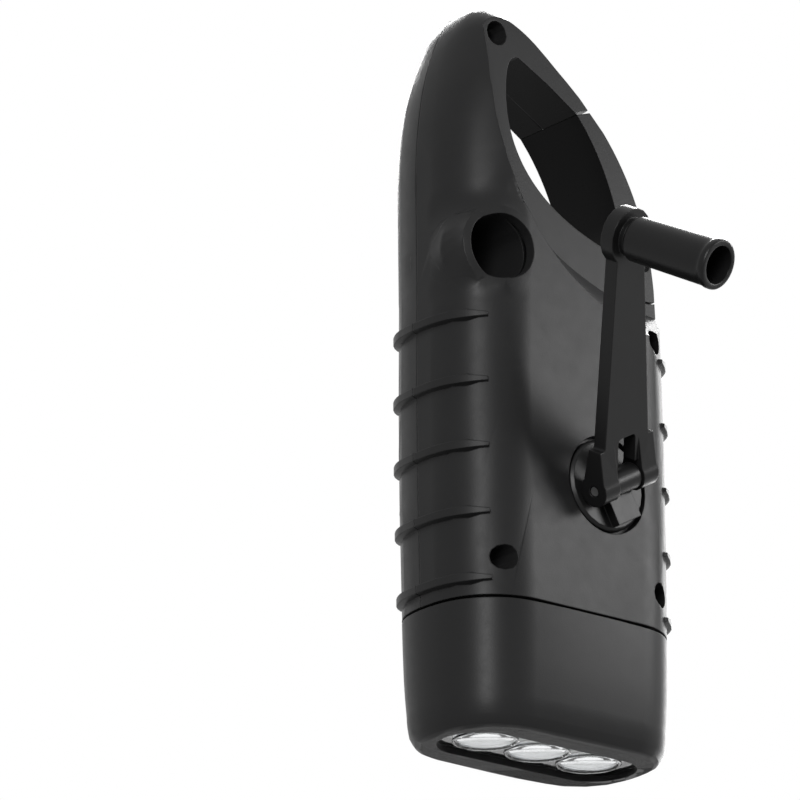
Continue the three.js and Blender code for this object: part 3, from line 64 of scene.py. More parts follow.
azimuth, elevation = math.radians(138.84), math.radians(-19.24)
camera_roll = math.radians(-1.0)
camera_distance = 1062 * mm
target = on_case(0, 0, 63.7)
target_pixel = (530.99, 395.12)
picture_side = 800
focal_pixels = 6269.9
sensor = 36
nearest_seen, farthest_seen = 0.05, 20
towards_camera = Vector(
    (
        math.sin(azimuth) * math.cos(elevation),
        -math.cos(azimuth) * math.cos(elevation),
        math.sin(elevation),
    )
)
camera_data = bpy.data.cameras.new("camera")
camera_data.sensor_width = sensor
camera_data.lens = focal_pixels * sensor / picture_side
camera_data.clip_start, camera_data.clip_end = nearest_seen, farthest_seen
camera = bpy.data.objects.new("camera", camera_data)
bpy.context.collection.objects.link(camera)
camera.location = target + towards_camera * camera_distance
camera.rotation_mode = "QUATERNION"
aim = (-towards_camera).to_track_quat("-Z", "Y") @ Quaternion((0, 0, 1), camera_roll)
seen_at = Vector(
    (
        target_pixel[0] - picture_side / 2,
        picture_side / 2 - target_pixel[1],
        -focal_pixels,
    )
)
camera.rotation_quaternion = aim @ seen_at.rotation_difference(Vector((0, 0, -1)))
bpy.context.scene.camera = camera

# ---- Studio ------------------------------------------------------------------------
# A pale floor under the lens rim that is seen from above only, and a white surround.
# Two broad soft boxes light the spine's corner and the gate side, and two small ones
# close by light the flat crank side and the solar side.
bpy.context.scene.view_settings.view_transform = "Standard"


class Shade:
    """A socket in a material: sums written with it add Math nodes."""

    def __init__(self, finish, socket):
        self.finish, self.socket = finish, socket

    def sum(self, operation, first, second):
        return self.finish.node(
            "Math", "Value", {0: first, 1: second}, operation=operation
        )

    def __add__(self, other):
        return self.sum("ADD", self, other)

    def __sub__(self, other):
        return self.sum("SUBTRACT", self, other)

    def __rsub__(self, other):
        return self.sum("SUBTRACT", other, self)

    def __mul__(self, other):
        return self.sum("MULTIPLY", self, other)

    def __truediv__(self, other):
        return self.sum("DIVIDE", self, other)

    def __lt__(self, other):
        return self.sum("LESS_THAN", self, other)

    __radd__, __rmul__ = __add__, __mul__


class Finish:
    """A node tree being filled: node() adds one shader node of any type."""

    def __init__(self, owner):
        owner.use_nodes = True
        self.owner, self.tree = owner, owner.node_tree
        self.tree.nodes.clear()

    def node(self, kind, output, sockets=None, **settings):
        made = self.tree.nodes.new("ShaderNode" + kind)
        for name, value in settings.items():
            setattr(made, name, value)
        for name, value in (sockets or {}).items():
            if isinstance(value, Shade):
                self.tree.links.new(value.socket, made.inputs[name])
            else:
                made.inputs[name].default_value = value
        return Shade(self, made.outputs[output]) if output is not None else made

    def blend(self, share, first, second):
        """A mix of two colours: all of the first at 0, all of the second at 1."""
        mix_factor, mix_a, mix_b, mix_colour = 0, 6, 7, 2
        return self.node(
            "Mix",
            mix_colour,
            {mix_factor: share, mix_a: first, mix_b: second},
            data_type="RGBA",
        )


surround = Finish(bpy.data.worlds.new("surround"))
bpy.context.scene.world = surround.owner
ray = surround.node("LightPath", None)
shown_to = [
    Shade(surround, ray.outputs[name])
    for name in ("Is Camera Ray", "Is Glossy Ray", "Is Transmission Ray")
]
seen_white = surround.node(
    "Math",
    "Value",
    {0: shown_to[0] + shown_to[1] + shown_to[2], 1: 1},
    operation="MINIMUM",
)
fill_level = 0.25
surround.node(
    "OutputWorld",
    None,
    {
        "Surface": surround.node(
            "Background",
            "Background",
            {
                "Color": (1, 1, 1, 1),
                "Strength": fill_level + seen_white * (1 - fill_level),
            },
        )
    },
)

floor_side, floor_grey, fades_from, gone_at = 1.2, 0.86, 0.12, 0.5
bpy.ops.object.select_all(action="DESELECT")
bpy.ops.mesh.primitive_plane_add(size=floor_side, location=(0, 0, 0))
floor = bpy.context.object
floor.name = "floor"
floor.visible_diffuse = floor.visible_glossy = floor.visible_transmission = False
pale = Finish(bpy.data.materials.new("pale_floor"))
behind = pale.node("NewGeometry", "Backfacing")
for_camera = pale.node("LightPath", "Is Camera Ray")
spread = pale.node(
    "VectorMath", "Value", {0: pale.node("TexCoord", "Object")}, operation="LENGTH"
)
near_case = pale.node(
    "MapRange",
    "Result",
    {
        "Value": spread,
        "From Min": fades_from,
        "From Max": gone_at,
        "To Min": 1,
        "To Max": 0,
    },
)
pale.node(
    "OutputMaterial",
    None,
    {
        "Surface": pale.node(
            "MixShader",
            "Shader",
            {
                0: for_camera * (1 - behind) * near_case,
                1: pale.node("BsdfTransparent", "BSDF", {"Color": (1, 1, 1, 1)}),
                2: pale.node("BsdfDiffuse", "BSDF", {"Color": (*[floor_grey] * 3, 1)}),
            },
        )
    },
)
floor.data.materials.append(pale.owner)


def soft_box(name, bearing, height, width, tall, power, away):
    """An area lamp that faces the case from a bearing, counted from +X towards +Y, and
    a height above the horizon, both in degrees."""
    data = bpy.data.lights.new(name, "AREA")
    data.shape = "RECTANGLE"
    data.size, data.size_y, data.energy = width, tall, power
    lamp = bpy.data.objects.new(name, data)
    bpy.context.collection.objects.link(lamp)
    turn, tilt = math.radians(bearing), math.radians(height)
    out = Vector(
        (
            math.cos(turn) * math.cos(tilt),
            math.sin(turn) * math.cos(tilt),
            math.sin(tilt),
        )
    )
    lamp.location = target + out * away
    lamp.rotation_mode = "QUATERNION"
    lamp.rotation_quaternion = (-out).to_track_quat("-Z", "Y")
    lamp.visible_camera = False


for name, bearing, height, width, tall, power, away in (
    ("spine_box", 42, 8, 0.26, 0.5, 7.0, 0.9),
    ("crank_side_box", 137, 15, 0.24, 0.1, 0.88, 0.33),
    ("gate_side_box", 205, 15, 0.4, 0.8, 4.0, 0.9),
    ("front_box", 228, 40, 0.24, 0.14, 1.6, 0.33),
):
    soft_box(name, bearing, height, width, tall, power, away)

# ---- Moulded case ------------------------------------------------------------------
# Two shells and a head cap, injection moulded in black ABS with a fine satin grain
# and screwed together from the crank side. The seams between them stay open by a
# hair, and every moulded edge is slightly rounded.
same_spot, same_plane = 0.002 * mm, math.radians(0.6)
finest_edge, smooth_reach, smooth_turn, sharp_turn = 0.7 * mm, 3.2 * mm, 34, 35
sample_step, straight_face, broad_face = 0.8 * mm, 0.9998, (2 * mm) ** 2
one_surface, least_crease = 0.999, 0.2
most_bulge, bulge_share = 0.3 * mm, 0.06


def deselect():
    bpy.ops.object.select_all(action="DESELECT")


def choose(piece):
    """Selects one piece alone and makes it the active one."""
    deselect()
    piece.select_set(True)
    bpy.context.view_layer.objects.active = piece


def copy_of(node, name, whole_faces=True):
    """A copy of a solid's mesh as a new piece, with its double points merged and, if
    asked for, its flat faces made whole."""
    piece = bpy.data.objects.new(name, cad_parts[node].data.copy())
    piece.data.name = name
    piece.data.materials.clear()
    bpy.context.collection.objects.link(piece)
    choose(piece)
    bpy.ops.object.mode_set(mode="EDIT")
    bpy.ops.mesh.select_all(action="SELECT")
    bpy.ops.mesh.remove_doubles(threshold=same_spot)
    if whole_faces:
        bpy.ops.mesh.dissolve_limited(angle_limit=same_plane)
    bpy.ops.object.mode_set(mode="OBJECT")
    return piece


def finish_piece(piece, body, material, replaces, smooth=32):
    """Smooths a piece up to an angle in degrees, paints it, puts it in the place of its
    solids and hangs it on its body."""
    choose(piece)
    if smooth:
        bpy.ops.object.shade_smooth_by_angle(angle=math.radians(smooth))
        even = piece.modifiers.new("even_normals", "WEIGHTED_NORMAL")
        even.keep_sharp = True
        bpy.ops.object.modifier_apply(modifier=even.name)
    piece.data.materials.append(material)
    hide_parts(*replaces)
    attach(piece, body)
    return piece


def round_edges(piece, width, segments=2):
    """A small round along every sharp edge."""
    choose(piece)
    bevel = piece.modifiers.new("rounded_edges", "BEVEL")
    bevel.limit_method = "ANGLE"
    bevel.angle_limit = math.radians(sharp_turn)
    bevel.width = width
    bevel.segments = segments
    bevel.use_clamp_overlap = True
    bevel.miter_outer = "MITER_ARC"
    bpy.ops.object.modifier_apply(modifier=bevel.name)


def corner_ways(mesh):
    """The direction that the smooth surface has at each corner of each triangle.

    It is the mean of what lies within reach and turns by less than a limit. A corner
    on a broad face that is square to the case takes that face's direction, so flats
    stay flat.
    """
    spots, ways = [], []
    for face in mesh.polygons:
        a, b, c = (mesh.vertices[i].co for i in face.vertices)
        steps = max(1, round(math.sqrt(2 * face.area) / sample_step))
        for i in range(steps):
            for j in range(steps - i):
                u, v = (i + 1 / 3) / steps, (j + 1 / 3) / steps
                spots.append(a + (b - a) * u + (c - a) * v)
                ways.append((face.normal.copy(), face.area / steps**2))
    near = KDTree(len(spots))
    for number, spot in enumerate(spots):
        near.insert(spot, number)
    near.balance()
    least = math.cos(math.radians(smooth_turn))
    square_faces = {}
    for face in mesh.polygons:
        straight = max(abs(part) for part in face.normal) > straight_face
        if straight and face.area > broad_face:
            for vertex in face.vertices:
                square_faces.setdefault(vertex, []).append(face.normal.copy())
    known, corners = {}, []
    for face in mesh.polygons:
        for vertex in face.vertices:
            key = (vertex, *(round(part, 2) for part in face.normal))
            if key not in known:
                mean, spot = Vector(), mesh.vertices[vertex].co
                beside = square_faces.get(vertex, [])
                square = [way for way in beside if way.dot(face.normal) > least]
                if square:
                    mean = max(square, key=face.normal.dot)
                else:
                    for _, number, far in near.find_range(spot, smooth_reach):
                        way, area = ways[number]
                        if way.dot(face.normal) > least:
                            mean = mean + way * (area * (1 - (far / smooth_reach) ** 2))
                known[key] = mean.normalized() if mean.length else face.normal.copy()
            corners.append(known[key])
    return corners


def bulge(first, last, sides):
    """How far the middle of an edge stands off its chord, from the directions at its
    ends: along the surface where it is smooth, along the crease where it isn't."""
    chord = last - first
    lifts = []
    for end, sign in ((0, 1), (1, -1)):
        half = chord * (sign / 2)
        way = sides[0][end]
        if len(sides) == 2 and way.dot(sides[1][end]) < one_surface:
            crease = way.cross(sides[1][end])
            if crease.length < least_crease:
                return Vector()
            crease.normalize()
            lifts.append(crease * half.dot(crease) - half)
        else:
            lifts.append(way * -half.dot(way))
    if lifts[0].dot(lifts[1]) <= 0:
        return Vector()
    lift = (lifts[0] + lifts[1]) / 4
    most = min(most_bulge, chord.length * bulge_share)
    return lift * (most / lift.length) if lift.length > most else lift


def cut_finer(spots, faces, longest, where):
    """Cuts each edge longer than a length in two, and its triangles with it, where a
    test of its middle says so. The new point is set out to the curve of the edge."""
    edges = {}
    for around, turned_to in faces:
        for i in range(3):
            a, b, at_a, at_b = around[i - 1], around[i], turned_to[i - 1], turned_to[i]
            if a > b:
                a, b, at_a, at_b = b, a, at_b, at_a
            edges.setdefault((a, b), []).append((at_a, at_b))
    middle = {}
    for (a, b), sides in edges.items():
        half_way = (spots[a] + spots[b]) / 2
        if (spots[a] - spots[b]).length > longest and where(half_way):
            middle[a, b] = middle[b, a] = len(spots)
            spots.append(half_way + bulge(spots[a], spots[b], sides))
    finer = []
    for around, turned_to in faces:
        cuts = [middle.get((around[i], around[i - 2])) for i in range(3)]
        count = 3 - cuts.count(None)
        turn = 0
        if count == 1:
            turn = next(i for i in range(3) if cuts[i] is not None)
        if count == 2:
            turn = cuts.index(None) - 2
        order = [(turn + i) % 3 for i in range(3)]
        c0, c1, c2 = ((around[i], turned_to[i]) for i in order)
        m0, m1, m2 = (
            (cuts[i], (turned_to[i] + turned_to[i - 2]).normalized()) for i in order
        )
        parts = {
            0: [(c0, c1, c2)],
            1: [(c0, m0, c2), (m0, c1, c2)],
            2: [(m0, c1, m1), (c0, m0, m1), (c0, m1, c2)],
            3: [(c0, m0, m2), (m0, c1, m1), (m2, m1, c2), (m0, m1, m2)],
        }
        finer += [tuple(zip(*corners)) for corners in parts[count]]
    return finer


def flowing(piece, settle=None):
    """Makes a facetted moulding the smooth one it stands for: long edges are cut in two
    twice over, and each new point is set out to the curve of its edge. A function can
    then settle the skin where it isn't the solid's."""
    choose(piece)
    bpy.ops.object.mode_set(mode="EDIT")
    bpy.ops.mesh.select_all(action="SELECT")
    bpy.ops.mesh.quads_convert_to_tris()
    bpy.ops.object.mode_set(mode="OBJECT")
    mesh = piece.data
    ways = corner_ways(mesh)
    spots = [vertex.co.copy() for vertex in mesh.vertices]
    faces = [
        (tuple(face.vertices), tuple(ways[3 * number : 3 * number + 3]))
        for number, face in enumerate(mesh.polygons)
    ]
    for _ in range(2):
        faces = cut_finer(spots, faces, finest_edge, lambda spot: True)
    if settle:
        faces = settle(spots, faces)
    mesh.clear_geometry()
    mesh.from_pydata(spots, [], [around for around, _ in faces])
    mesh.polygons.foreach_set("use_smooth", [True] * len(faces))
    mesh.normals_split_custom_set([way for _, turned_to in faces for way in turned_to])


def surface(finish, sockets):
    """Ends a material in a Principled surface with these sockets."""
    shader = finish.node("BsdfPrincipled", "BSDF", sockets)
    finish.node("OutputMaterial", None, {"Surface": shader})
    return finish.owner


def grey(level):
    """A neutral colour with a trace of blue, as black plastics have."""
    return (level, level, level * 1.02, 1)


def satin_plastic(name, level, roughness, specular, grain=0.35):
    """Black moulded plastic: fine spark grain, faint flow marks and rounded edges."""
    finish = Finish(bpy.data.materials.new(name))
    place = finish.node("TexCoord", "Object")
    spark = finish.node(
        "TexNoise",
        "Fac",
        {"Vector": place, "Scale": 4200, "Detail": 2, "Roughness": 0.55},
    )
    flow = finish.node(
        "TexNoise",
        "Fac",
        {"Vector": place, "Scale": 70, "Detail": 3, "Roughness": 0.5},
    )
    rub = finish.node(
        "TexNoise",
        "Fac",
        {"Vector": place, "Scale": 420, "Detail": 4, "Roughness": 0.7},
    )
    rounded = finish.node("Bevel", "Normal", {"Radius": 0.25 * mm}, samples=6)
    return surface(
        finish,
        {
            "Base Color": finish.blend(flow, grey(level * 0.86), grey(level * 1.14)),
            "Roughness": roughness + (rub - 0.5) * 0.16 + (spark - 0.5) * 0.08,
            "Specular IOR Level": specular,
            "Normal": finish.node(
                "Bump",
                "Normal",
                {
                    "Strength": grain,
                    "Distance": 0.03 * mm,
                    "Height": spark,
                    "Normal": rounded,
                },
            ),
        },
    )


# The crank handle's pocket: its bore and raised rim, and the grid across the case's
# corner on which the skin round the rim is drawn taut.
pocket_axis = on_case(16.785, 12.5, 83.12)
pocket_bore, pocket_rim, flare_reach = 5.85 * mm, 6.95 * mm, 16 * mm
flare_out, flare_side = Vector((0.74, 0.6726, 0)), Vector((-0.6726, 0.74, 0))
flare_step, flare_rounds, flare_ease = 0.3 * mm, 600, 0.95 * mm
flare_rows, flare_columns, flare_far = range(-38, 60), range(-46, 46), 40 * mm
finer_edges = (1.2 * mm, 0.8 * mm, 0.5 * mm, 0.5 * mm)
finer_reach, finer_from, skin_depth, rim_slack = 13 * mm, 72.5 * mm, 9 * mm, 0.1 * mm
bore_slack, mouth_slack = 0.3 * mm, 0.05 * mm

# Where the taut skin begins to leave the solid's, and over what length it takes over.
inward_from, inward_over = -5.5 * mm, 3.5 * mm
rim_within, rim_over = 13.5 * mm, 3.5 * mm
grip_from, grip_over = 72 * mm, 2.5 * mm
seam_from, seam_over = 0.4 * mm, 3 * mm
least_rise, full_rise, least_facing = 0.003 * mm, 0.08 * mm, -0.3
clear_start, clear_far = 0.1 * mm, 30 * mm


def from_pocket(spot):
    """How far a spot is from the pocket's axis, seen along it."""
    return math.hypot(spot.x - pocket_axis.x, spot.z - pocket_axis.z)


def by_pocket(spot):
    """Is a spot on the outer skin beside the pocket's rim?"""
    outer = (spot - pocket_axis).dot(flare_out) > -skin_depth
    beside = pocket_rim - rim_slack < from_pocket(spot) < finer_reach
    return outer and beside and spot.z > finer_from


def climb(value, start, over):
    """None at the start, all past its length, and an even climb between."""
    return min(1, max(0, (value - start) / over))


def pocket_flare(spots, faces):
    """Fills the crease round the handle's pocket: the skin runs taut from the case to
    the pocket's rim, as the moulding does, and meets both without an edge."""
    for longest in finer_edges:
        faces = cut_finer(spots, faces, longest, by_pocket)
    tree = BVHTree.FromPolygons(spots, [around for around, _ in faces])
    start, free = {}, []
    for row in flare_rows:
        for column in flare_columns:
            foot = pocket_axis + flare_side * (column * flare_step)
            foot.z += row * flare_step
            hit, _, _, depth = tree.ray_cast(foot + flare_out * flare_far, -flare_out)
            if hit is None:
                continue
            start[row, column] = flare_far - depth
            sunk = hit.y < pocket_axis.y - mouth_slack
            if sunk and from_pocket(hit) < pocket_bore + bore_slack:
                start[row, column] = (pocket_axis.y - foot.y) / flare_out.y
            elif pocket_rim < from_pocket(hit) < flare_reach:
                free.append((row, column))
    lift = dict(start)
    for _ in range(flare_rounds):
        for row, column in free:
            around = [
                lift.get((row + i, column + j))
                for i, j in ((-1, 0), (1, 0), (0, -1), (0, 1))
            ]
            if None not in around:
                least = start[row, column] - flare_ease
                lift[row, column] = max(least, sum(around) / 4)

    def height(across, up):
        """The taut skin's height at a place on the grid, or None off it."""
        column, row = math.floor(across), math.floor(up)
        corners = [lift.get((row + i, column + j)) for i in (0, 1) for j in (0, 1)]
        if None in corners:
            return None
        u, v = across - column, up - row
        low_side = corners[0] * (1 - u) + corners[1] * u
        return low_side * (1 - v) + (corners[2] * (1 - u) + corners[3] * u) * v

    mean_way = {}
    for around, turned_to in faces:
        for vertex, way in zip(around, turned_to):
            mean_way[vertex] = mean_way.get(vertex, Vector()) + way
    new_way = {}
    for vertex, way in mean_way.items():
        spot = spots[vertex]
        if not (pocket_rim < from_pocket(spot) < flare_reach) or spot.z < grip_from:
            continue
        away = spot - pocket_axis
        across, up = away.dot(flare_side) / flare_step, away.z / flare_step
        taut = height(across, up)
        way = way.normalized()
        if taut is None or way.dot(flare_out) < least_facing:
            continue
        part = climb(away.x, inward_from, inward_over)
        part *= climb(-from_pocket(spot), -rim_within, rim_over)
        part *= climb(spot.z, grip_from, grip_over)
        part *= climb(spot.y - case_axis.y, seam_from, seam_over)
        part = part * part * (3 - 2 * part)
        rise = (taut - away.dot(flare_out)) * part
        if abs(rise) < least_rise:
            continue
        free_way = (way + flare_out).normalized()
        if tree.ray_cast(spot + way * clear_start, free_way, clear_far)[0] is not None:
            continue
        slopes = [
            (height(across + i, up + j), height(across - i, up - j))
            for i, j in ((1, 0), (0, 1))
        ]
        if any(None in pair for pair in slopes):
            continue
        leans = [(more - less) / (2 * flare_step) for more, less in slopes]
        skin_way = flare_out - flare_side * leans[0] - Vector((0, 0, leans[1]))
        share = min(1, abs(rise) / full_rise) * part
        spots[vertex] = spot + flare_out * rise
        new_way[vertex] = (skin_way.normalized(), share)
    settled = []
    for around, turned_to in faces:
        ways = []
        for vertex, way in zip(around, turned_to):
            if vertex in new_way:
                skin_way, share = new_way[vertex]
                way = (way * (1 - share) + skin_way * share).normalized()
            ways.append(way)
        settled.append((around, tuple(ways)))
    return settled


hook_hole, hole_wide, hole_tall = on_case(-1.0, 0, 101), 15.5 * mm, 26 * mm
facing_least, wall_lean = 0.2 * mm, 0.3


def paint_hole_shade(piece, material):
    """Paints shade onto the walls of the hook's opening: they get a second material, a
    darker black with a weaker but smoother sheen, which stands for the shade inside the
    opening."""
    piece.data.materials.append(material)
    for face in piece.data.polygons:
        inward = hook_hole - face.center
        inside = (inward.x / hole_wide) ** 2 + (inward.z / hole_tall) ** 2 < 1
        facing = face.normal.x * inward.x + face.normal.z * inward.z > facing_least
        if inside and facing and abs(face.normal.y) < wall_lean:
            face.material_index = 1


case_black = satin_plastic(
    "case_satin_black", level=0.012, roughness=0.38, specular=0.12
)
# Painted shade: a darker black with a weaker sheen for the walls of the hook's opening.
hole_shade_black = satin_plastic(
    "hole_wall_painted_shade_black", level=0.003, roughness=0.3, specular=0.05, grain=0.1
)
for node, name in (
    ("back_shell", "crank_side_shell"),
    ("front_shell", "solar_side_shell"),
    ("head_cap", "lamp_head"),
):
    shell = copy_of(node, name, whole_faces=False)
    flowing(shell, settle=pocket_flare if node == "back_shell" else None)
    finish_piece(shell, "body", case_black, [node], smooth=None)
    if node != "head_cap":
        paint_hole_shade(shell, hole_shade_black)

# ---- Solar frame and window --------------------------------------------------------
# A separate black frame pressed into the solar side, with a raised and chamfered
# plateau. A brown-tinted acrylic pane sits in its recess, and the thin-film solar
# cell lies right behind the pane.
solar_frame = copy_of("solar_bezel", "solar_frame", whole_faces=False)
flowing(solar_frame)
finish_piece(
    solar_frame, "body", case_black, ["solar_bezel"], smooth=None
)


def tinted_pane(name, tint, cover):
    """Glossy tinted acrylic with the faint waviness of a moulded pane."""
    lighter = [1.1 * part for part in tint]
    finish = Finish(bpy.data.materials.new(name))
    place = finish.node("TexCoord", "Object")
    waves = finish.node("TexNoise", "Fac", {"Vector": place, "Scale": 90, "Detail": 2})
    dust = finish.node("TexNoise", "Fac", {"Vector": place, "Scale": 900, "Detail": 4})
    return surface(
        finish,
        {
            "Base Color": finish.blend(waves, (*tint, 1), (*lighter, 1)),
            "Roughness": 0.08 + dust * 0.06,
            "Specular IOR Level": 0.3,
            "Alpha": cover,
            "Normal": finish.node(
                "Bump",
                "Normal",
                {"Strength": 0.2, "Distance": 0.05 * mm, "Height": waves},
            ),
        },
    )


pane = copy_of("solar_window", "tinted_window")
round_edges(pane, 0.12 * mm)
pane_tint = tinted_pane("smoked_acrylic", tint=(0.03, 0.017, 0.012), cover=0.55)
finish_piece(pane, "body", pane_tint, replaces=["solar_window"])


def thin_film_cell():
    """Brown silicon film: scribed into strips, with a tone that varies slightly in soft
    clouds.
    """
    finish = Finish(bpy.data.materials.new("thin_film_silicon"))
    place = finish.node("TexCoord", "Object")
    across = finish.node("SeparateXYZ", "X", {"Vector": place})
    strip, scribed_share = 2.4 * mm, 0.035
    phase = finish.node("Math", "Value", {0: across / strip}, operation="FRACT")
    scribe = phase < scribed_share
    cloud = finish.node("TexNoise", "Fac", {"Vector": place, "Scale": 160, "Detail": 3})
    film = finish.blend(cloud, (0.026, 0.014, 0.009, 1), (0.034, 0.019, 0.012, 1))
    return surface(
        finish,
        {
            "Base Color": finish.blend(scribe, film, (0.016, 0.009, 0.006, 1)),
            "Roughness": 0.34 + cloud * 0.1,
            "Specular IOR Level": 0.2,
            "Normal": finish.node(
                "Bump",
                "Normal",
                {"Strength": 0.3, "Distance": 0.02 * mm, "Height": scribe},
            ),
        },
    )


def dress(node, material):
    """Paints a solid that stays as it is."""
    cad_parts[node].data.materials.clear()
    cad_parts[node].data.materials.append(material)


dress("solar_cell", thin_film_cell())

# ---- Carabiner gate ----------------------------------------------------------------
# The sprung arm that closes the hook, moulded in the same black plastic. It turns on
# a steel pin through its forked root, and a wire spring keeps it shut.
gate = copy_of("gate", "hook_gate", whole_faces=False)
flowing(gate)
finish_piece(gate, "gate", case_black, ["gate"], smooth=None)
# The gate's side of the hook's opening gets the same painted shade.
paint_hole_shade(gate, hole_shade_black)


def drawn_steel(name, level, roughness, along):
    """Bright steel with fine lines drawn along one axis."""
    stretched = tuple(0.04 if axis == along else 1 for axis in "XYZ")
    dull, bright = (*[level * 0.82] * 3, 1), (*[level] * 3, 1)
    finish = Finish(bpy.data.materials.new(name))
    place = finish.node("TexCoord", "Object")
    drawn = finish.node("Mapping", "Vector", {"Vector": place, "Scale": stretched})
    lines = finish.node(
        "TexNoise", "Fac", {"Vector": drawn, "Scale": 9000, "Detail": 2}
    )
    stain = finish.node("TexNoise", "Fac", {"Vector": place, "Scale": 700, "Detail": 3})
    return surface(
        finish,
        {
            "Base Color": finish.blend(stain, dull, bright),
            "Metallic": 1.0,
            "Roughness": roughness + (stain - 0.5) * 0.2,
            "Normal": finish.node(
                "Bump",
                "Normal",
                {"Strength": 0.4, "Distance": 0.01 * mm, "Height": lines},
            ),
        },
    )


pin_steel = drawn_steel("pin_steel", level=0.62, roughness=0.3, along="Y")
spring_steel = drawn_steel("spring_wire", level=0.5, roughness=0.35, along="Z")
for node in ("gate_pin", "axle_a", "axle_b", "rotor_shaft", "crank_shaft", "knob_pin"):
    dress(node, pin_steel)
dress("gate_spring", spring_steel)

# ---- Crank -------------------------------------------------------------------------
# A disc in a round seat, with a hinge lug; a flat tapered lever that folds down on a
# steel pin through the lug; and a hollow round handle, free to turn on the lever's
# end. All three are black plastic, a little glossier than the case.
crank_black = satin_plastic(
    "crank_satin_black", level=0.007, roughness=0.32, specular=0.14, grain=0.25
)
disc = copy_of("crank_hub", "crank_disc")
round_edges(disc, 0.12 * mm)
finish_piece(disc, "crank", crank_black, replaces=["crank_hub"])
lever = copy_of("crank_arm", "crank_lever")
round_edges(lever, 0.32 * mm, segments=3)
finish_piece(lever, "arm", crank_black, replaces=["crank_arm"])


def turned(name, rings, sides=96, closed=True):
    """A round piece along Z: a circle drawn out through rings of radius and height in
    millimetres. It closes on itself, or else its two ends are filled."""
    rings = [(radius * mm, height * mm) for radius, height in rings]
    deselect()
    radius, height = rings[0]
    bpy.ops.mesh.primitive_circle_add(
        vertices=sides, radius=radius, location=(0, 0, height), fill_type="NOTHING"
    )
    piece = bpy.context.object
    piece.name = piece.data.name = name
    bpy.ops.object.transform_apply()
    bpy.ops.object.mode_set(mode="EDIT")
    bpy.ops.mesh.select_all(action="SELECT")
    for next_radius, next_height in rings[1:]:
        bpy.ops.mesh.extrude_edges_move(
            TRANSFORM_OT_translate={"value": (0, 0, next_height - height)}
        )
        share = next_radius / radius
        bpy.ops.transform.resize(
            value=(share, share, 1), center_override=(0, 0, next_height)
        )
        radius, height = next_radius, next_height
    bpy.ops.mesh.select_all(action="SELECT")
    bpy.ops.mesh.remove_doubles(threshold=0.001 * mm)
    if not closed:
        bpy.ops.mesh.fill_holes(sides=0)
    bpy.ops.mesh.select_all(action="SELECT")
    bpy.ops.mesh.normals_make_consistent(inside=False)
    bpy.ops.object.mode_set(mode="OBJECT")
    return piece


def stand(piece, spot, along):
    """Turns a piece's own Z to a direction and moves it to a spot, in its mesh."""
    choose(piece)
    piece.rotation_mode = "QUATERNION"
    piece.rotation_quaternion = Vector(along).to_track_quat("Z", "Y")
    piece.location = spot
    bpy.ops.object.transform_apply(location=True, rotation=True, scale=True)
    return piece


crank_turn, crank_lift, crank_reach = math.radians(29), math.radians(31.3), 43.7 * mm
hinge = on_case(-4.401, 17.2, 44.9)
lever_way = Vector(
    (
        math.sin(crank_turn) * math.cos(crank_lift),
        math.sin(crank_lift),
        math.cos(crank_turn) * math.cos(crank_lift),
    )
)
handle_way = Vector(
    (
        -math.sin(crank_turn) * math.sin(crank_lift),
        math.cos(crank_lift),
        -math.cos(crank_turn) * math.sin(crank_lift),
    )
)
base, end = 2.45, 19.85
handle_rings = [
    (1.25, base),
    (3.3, base),
    (3.66, base + 0.06),
    (3.8, base + 0.25),
    (4.02, base + 14.6),
    (4.04, base + 15.4),
    (4.06, base + 15.85),
    (4.13, base + 16.05),
    (4.22, base + 16.25),
    (4.25, base + 16.5),
    (4.25, base + 16.95),
    (4.2, base + 17.2),
    (4.08, base + 17.35),
    (3.9, end),
    (3.36, end),
    (3.24, end - 0.06),
    (3.2, end - 0.2),
    (3.2, base + 2.2),
    (3.1, base + 2.04),
    (2.9, base + 2),
    (1.25, base + 2),
    (1.25, base),
]
handle = turned("crank_handle", handle_rings)
stand(handle, hinge + lever_way * crank_reach, handle_way)
finish_piece(handle, "knob", crank_black, replaces=["crank_knob"])
dress("hinge_pin", pin_steel)

# ---- Power button ------------------------------------------------------------------
# A soft-touch cap on the gate side, rounded all round and slightly proud of the case.
button = copy_of("power_button", "button_cap")
round_edges(button, 0.2 * mm)
soft_black = satin_plastic(
    "soft_touch_black", level=0.017, roughness=0.6, specular=0.2, grain=0.5
)
finish_piece(button, "button", soft_black, replaces=["power_button"])

# ---- Lamp --------------------------------------------------------------------------
# Three clear LEDs in plated cups behind one clear acrylic lens, which has a shallow
# dome over each cup. The lens is glued into the head cap's opening.
lamp_pitch, lamp_places = 11.3, (-1, 0, 1)


def clear_plastic(name, roughness, ior, tone):
    """Clear moulded plastic. It refracts, and casts only a faint shadow."""
    let_through = (0.9, 0.9, 0.9, 1)
    finish = Finish(bpy.data.materials.new(name))
    place = finish.node("TexCoord", "Object")
    waves = finish.node("TexNoise", "Fac", {"Vector": place, "Scale": 260, "Detail": 2})
    wear = finish.node("TexNoise", "Fac", {"Vector": place, "Scale": 1300, "Detail": 3})
    clear = finish.node(
        "BsdfPrincipled",
        "BSDF",
        {
            "Base Color": (*tone, 1),
            "Roughness": roughness + wear * 0.04,
            "IOR": ior,
            "Transmission Weight": 1,
            "Normal": finish.node(
                "Bump",
                "Normal",
                {"Strength": 0.25, "Distance": 0.05 * mm, "Height": waves},
            ),
        },
    )
    shade = finish.node("LightPath", "Is Shadow Ray")
    finish.node(
        "OutputMaterial",
        None,
        {
            "Surface": finish.node(
                "MixShader",
                "Shader",
                {
                    0: shade,
                    1: clear,
                    2: finish.node("BsdfTransparent", "BSDF", {"Color": let_through}),
                },
            )
        },
    )
    return finish.owner


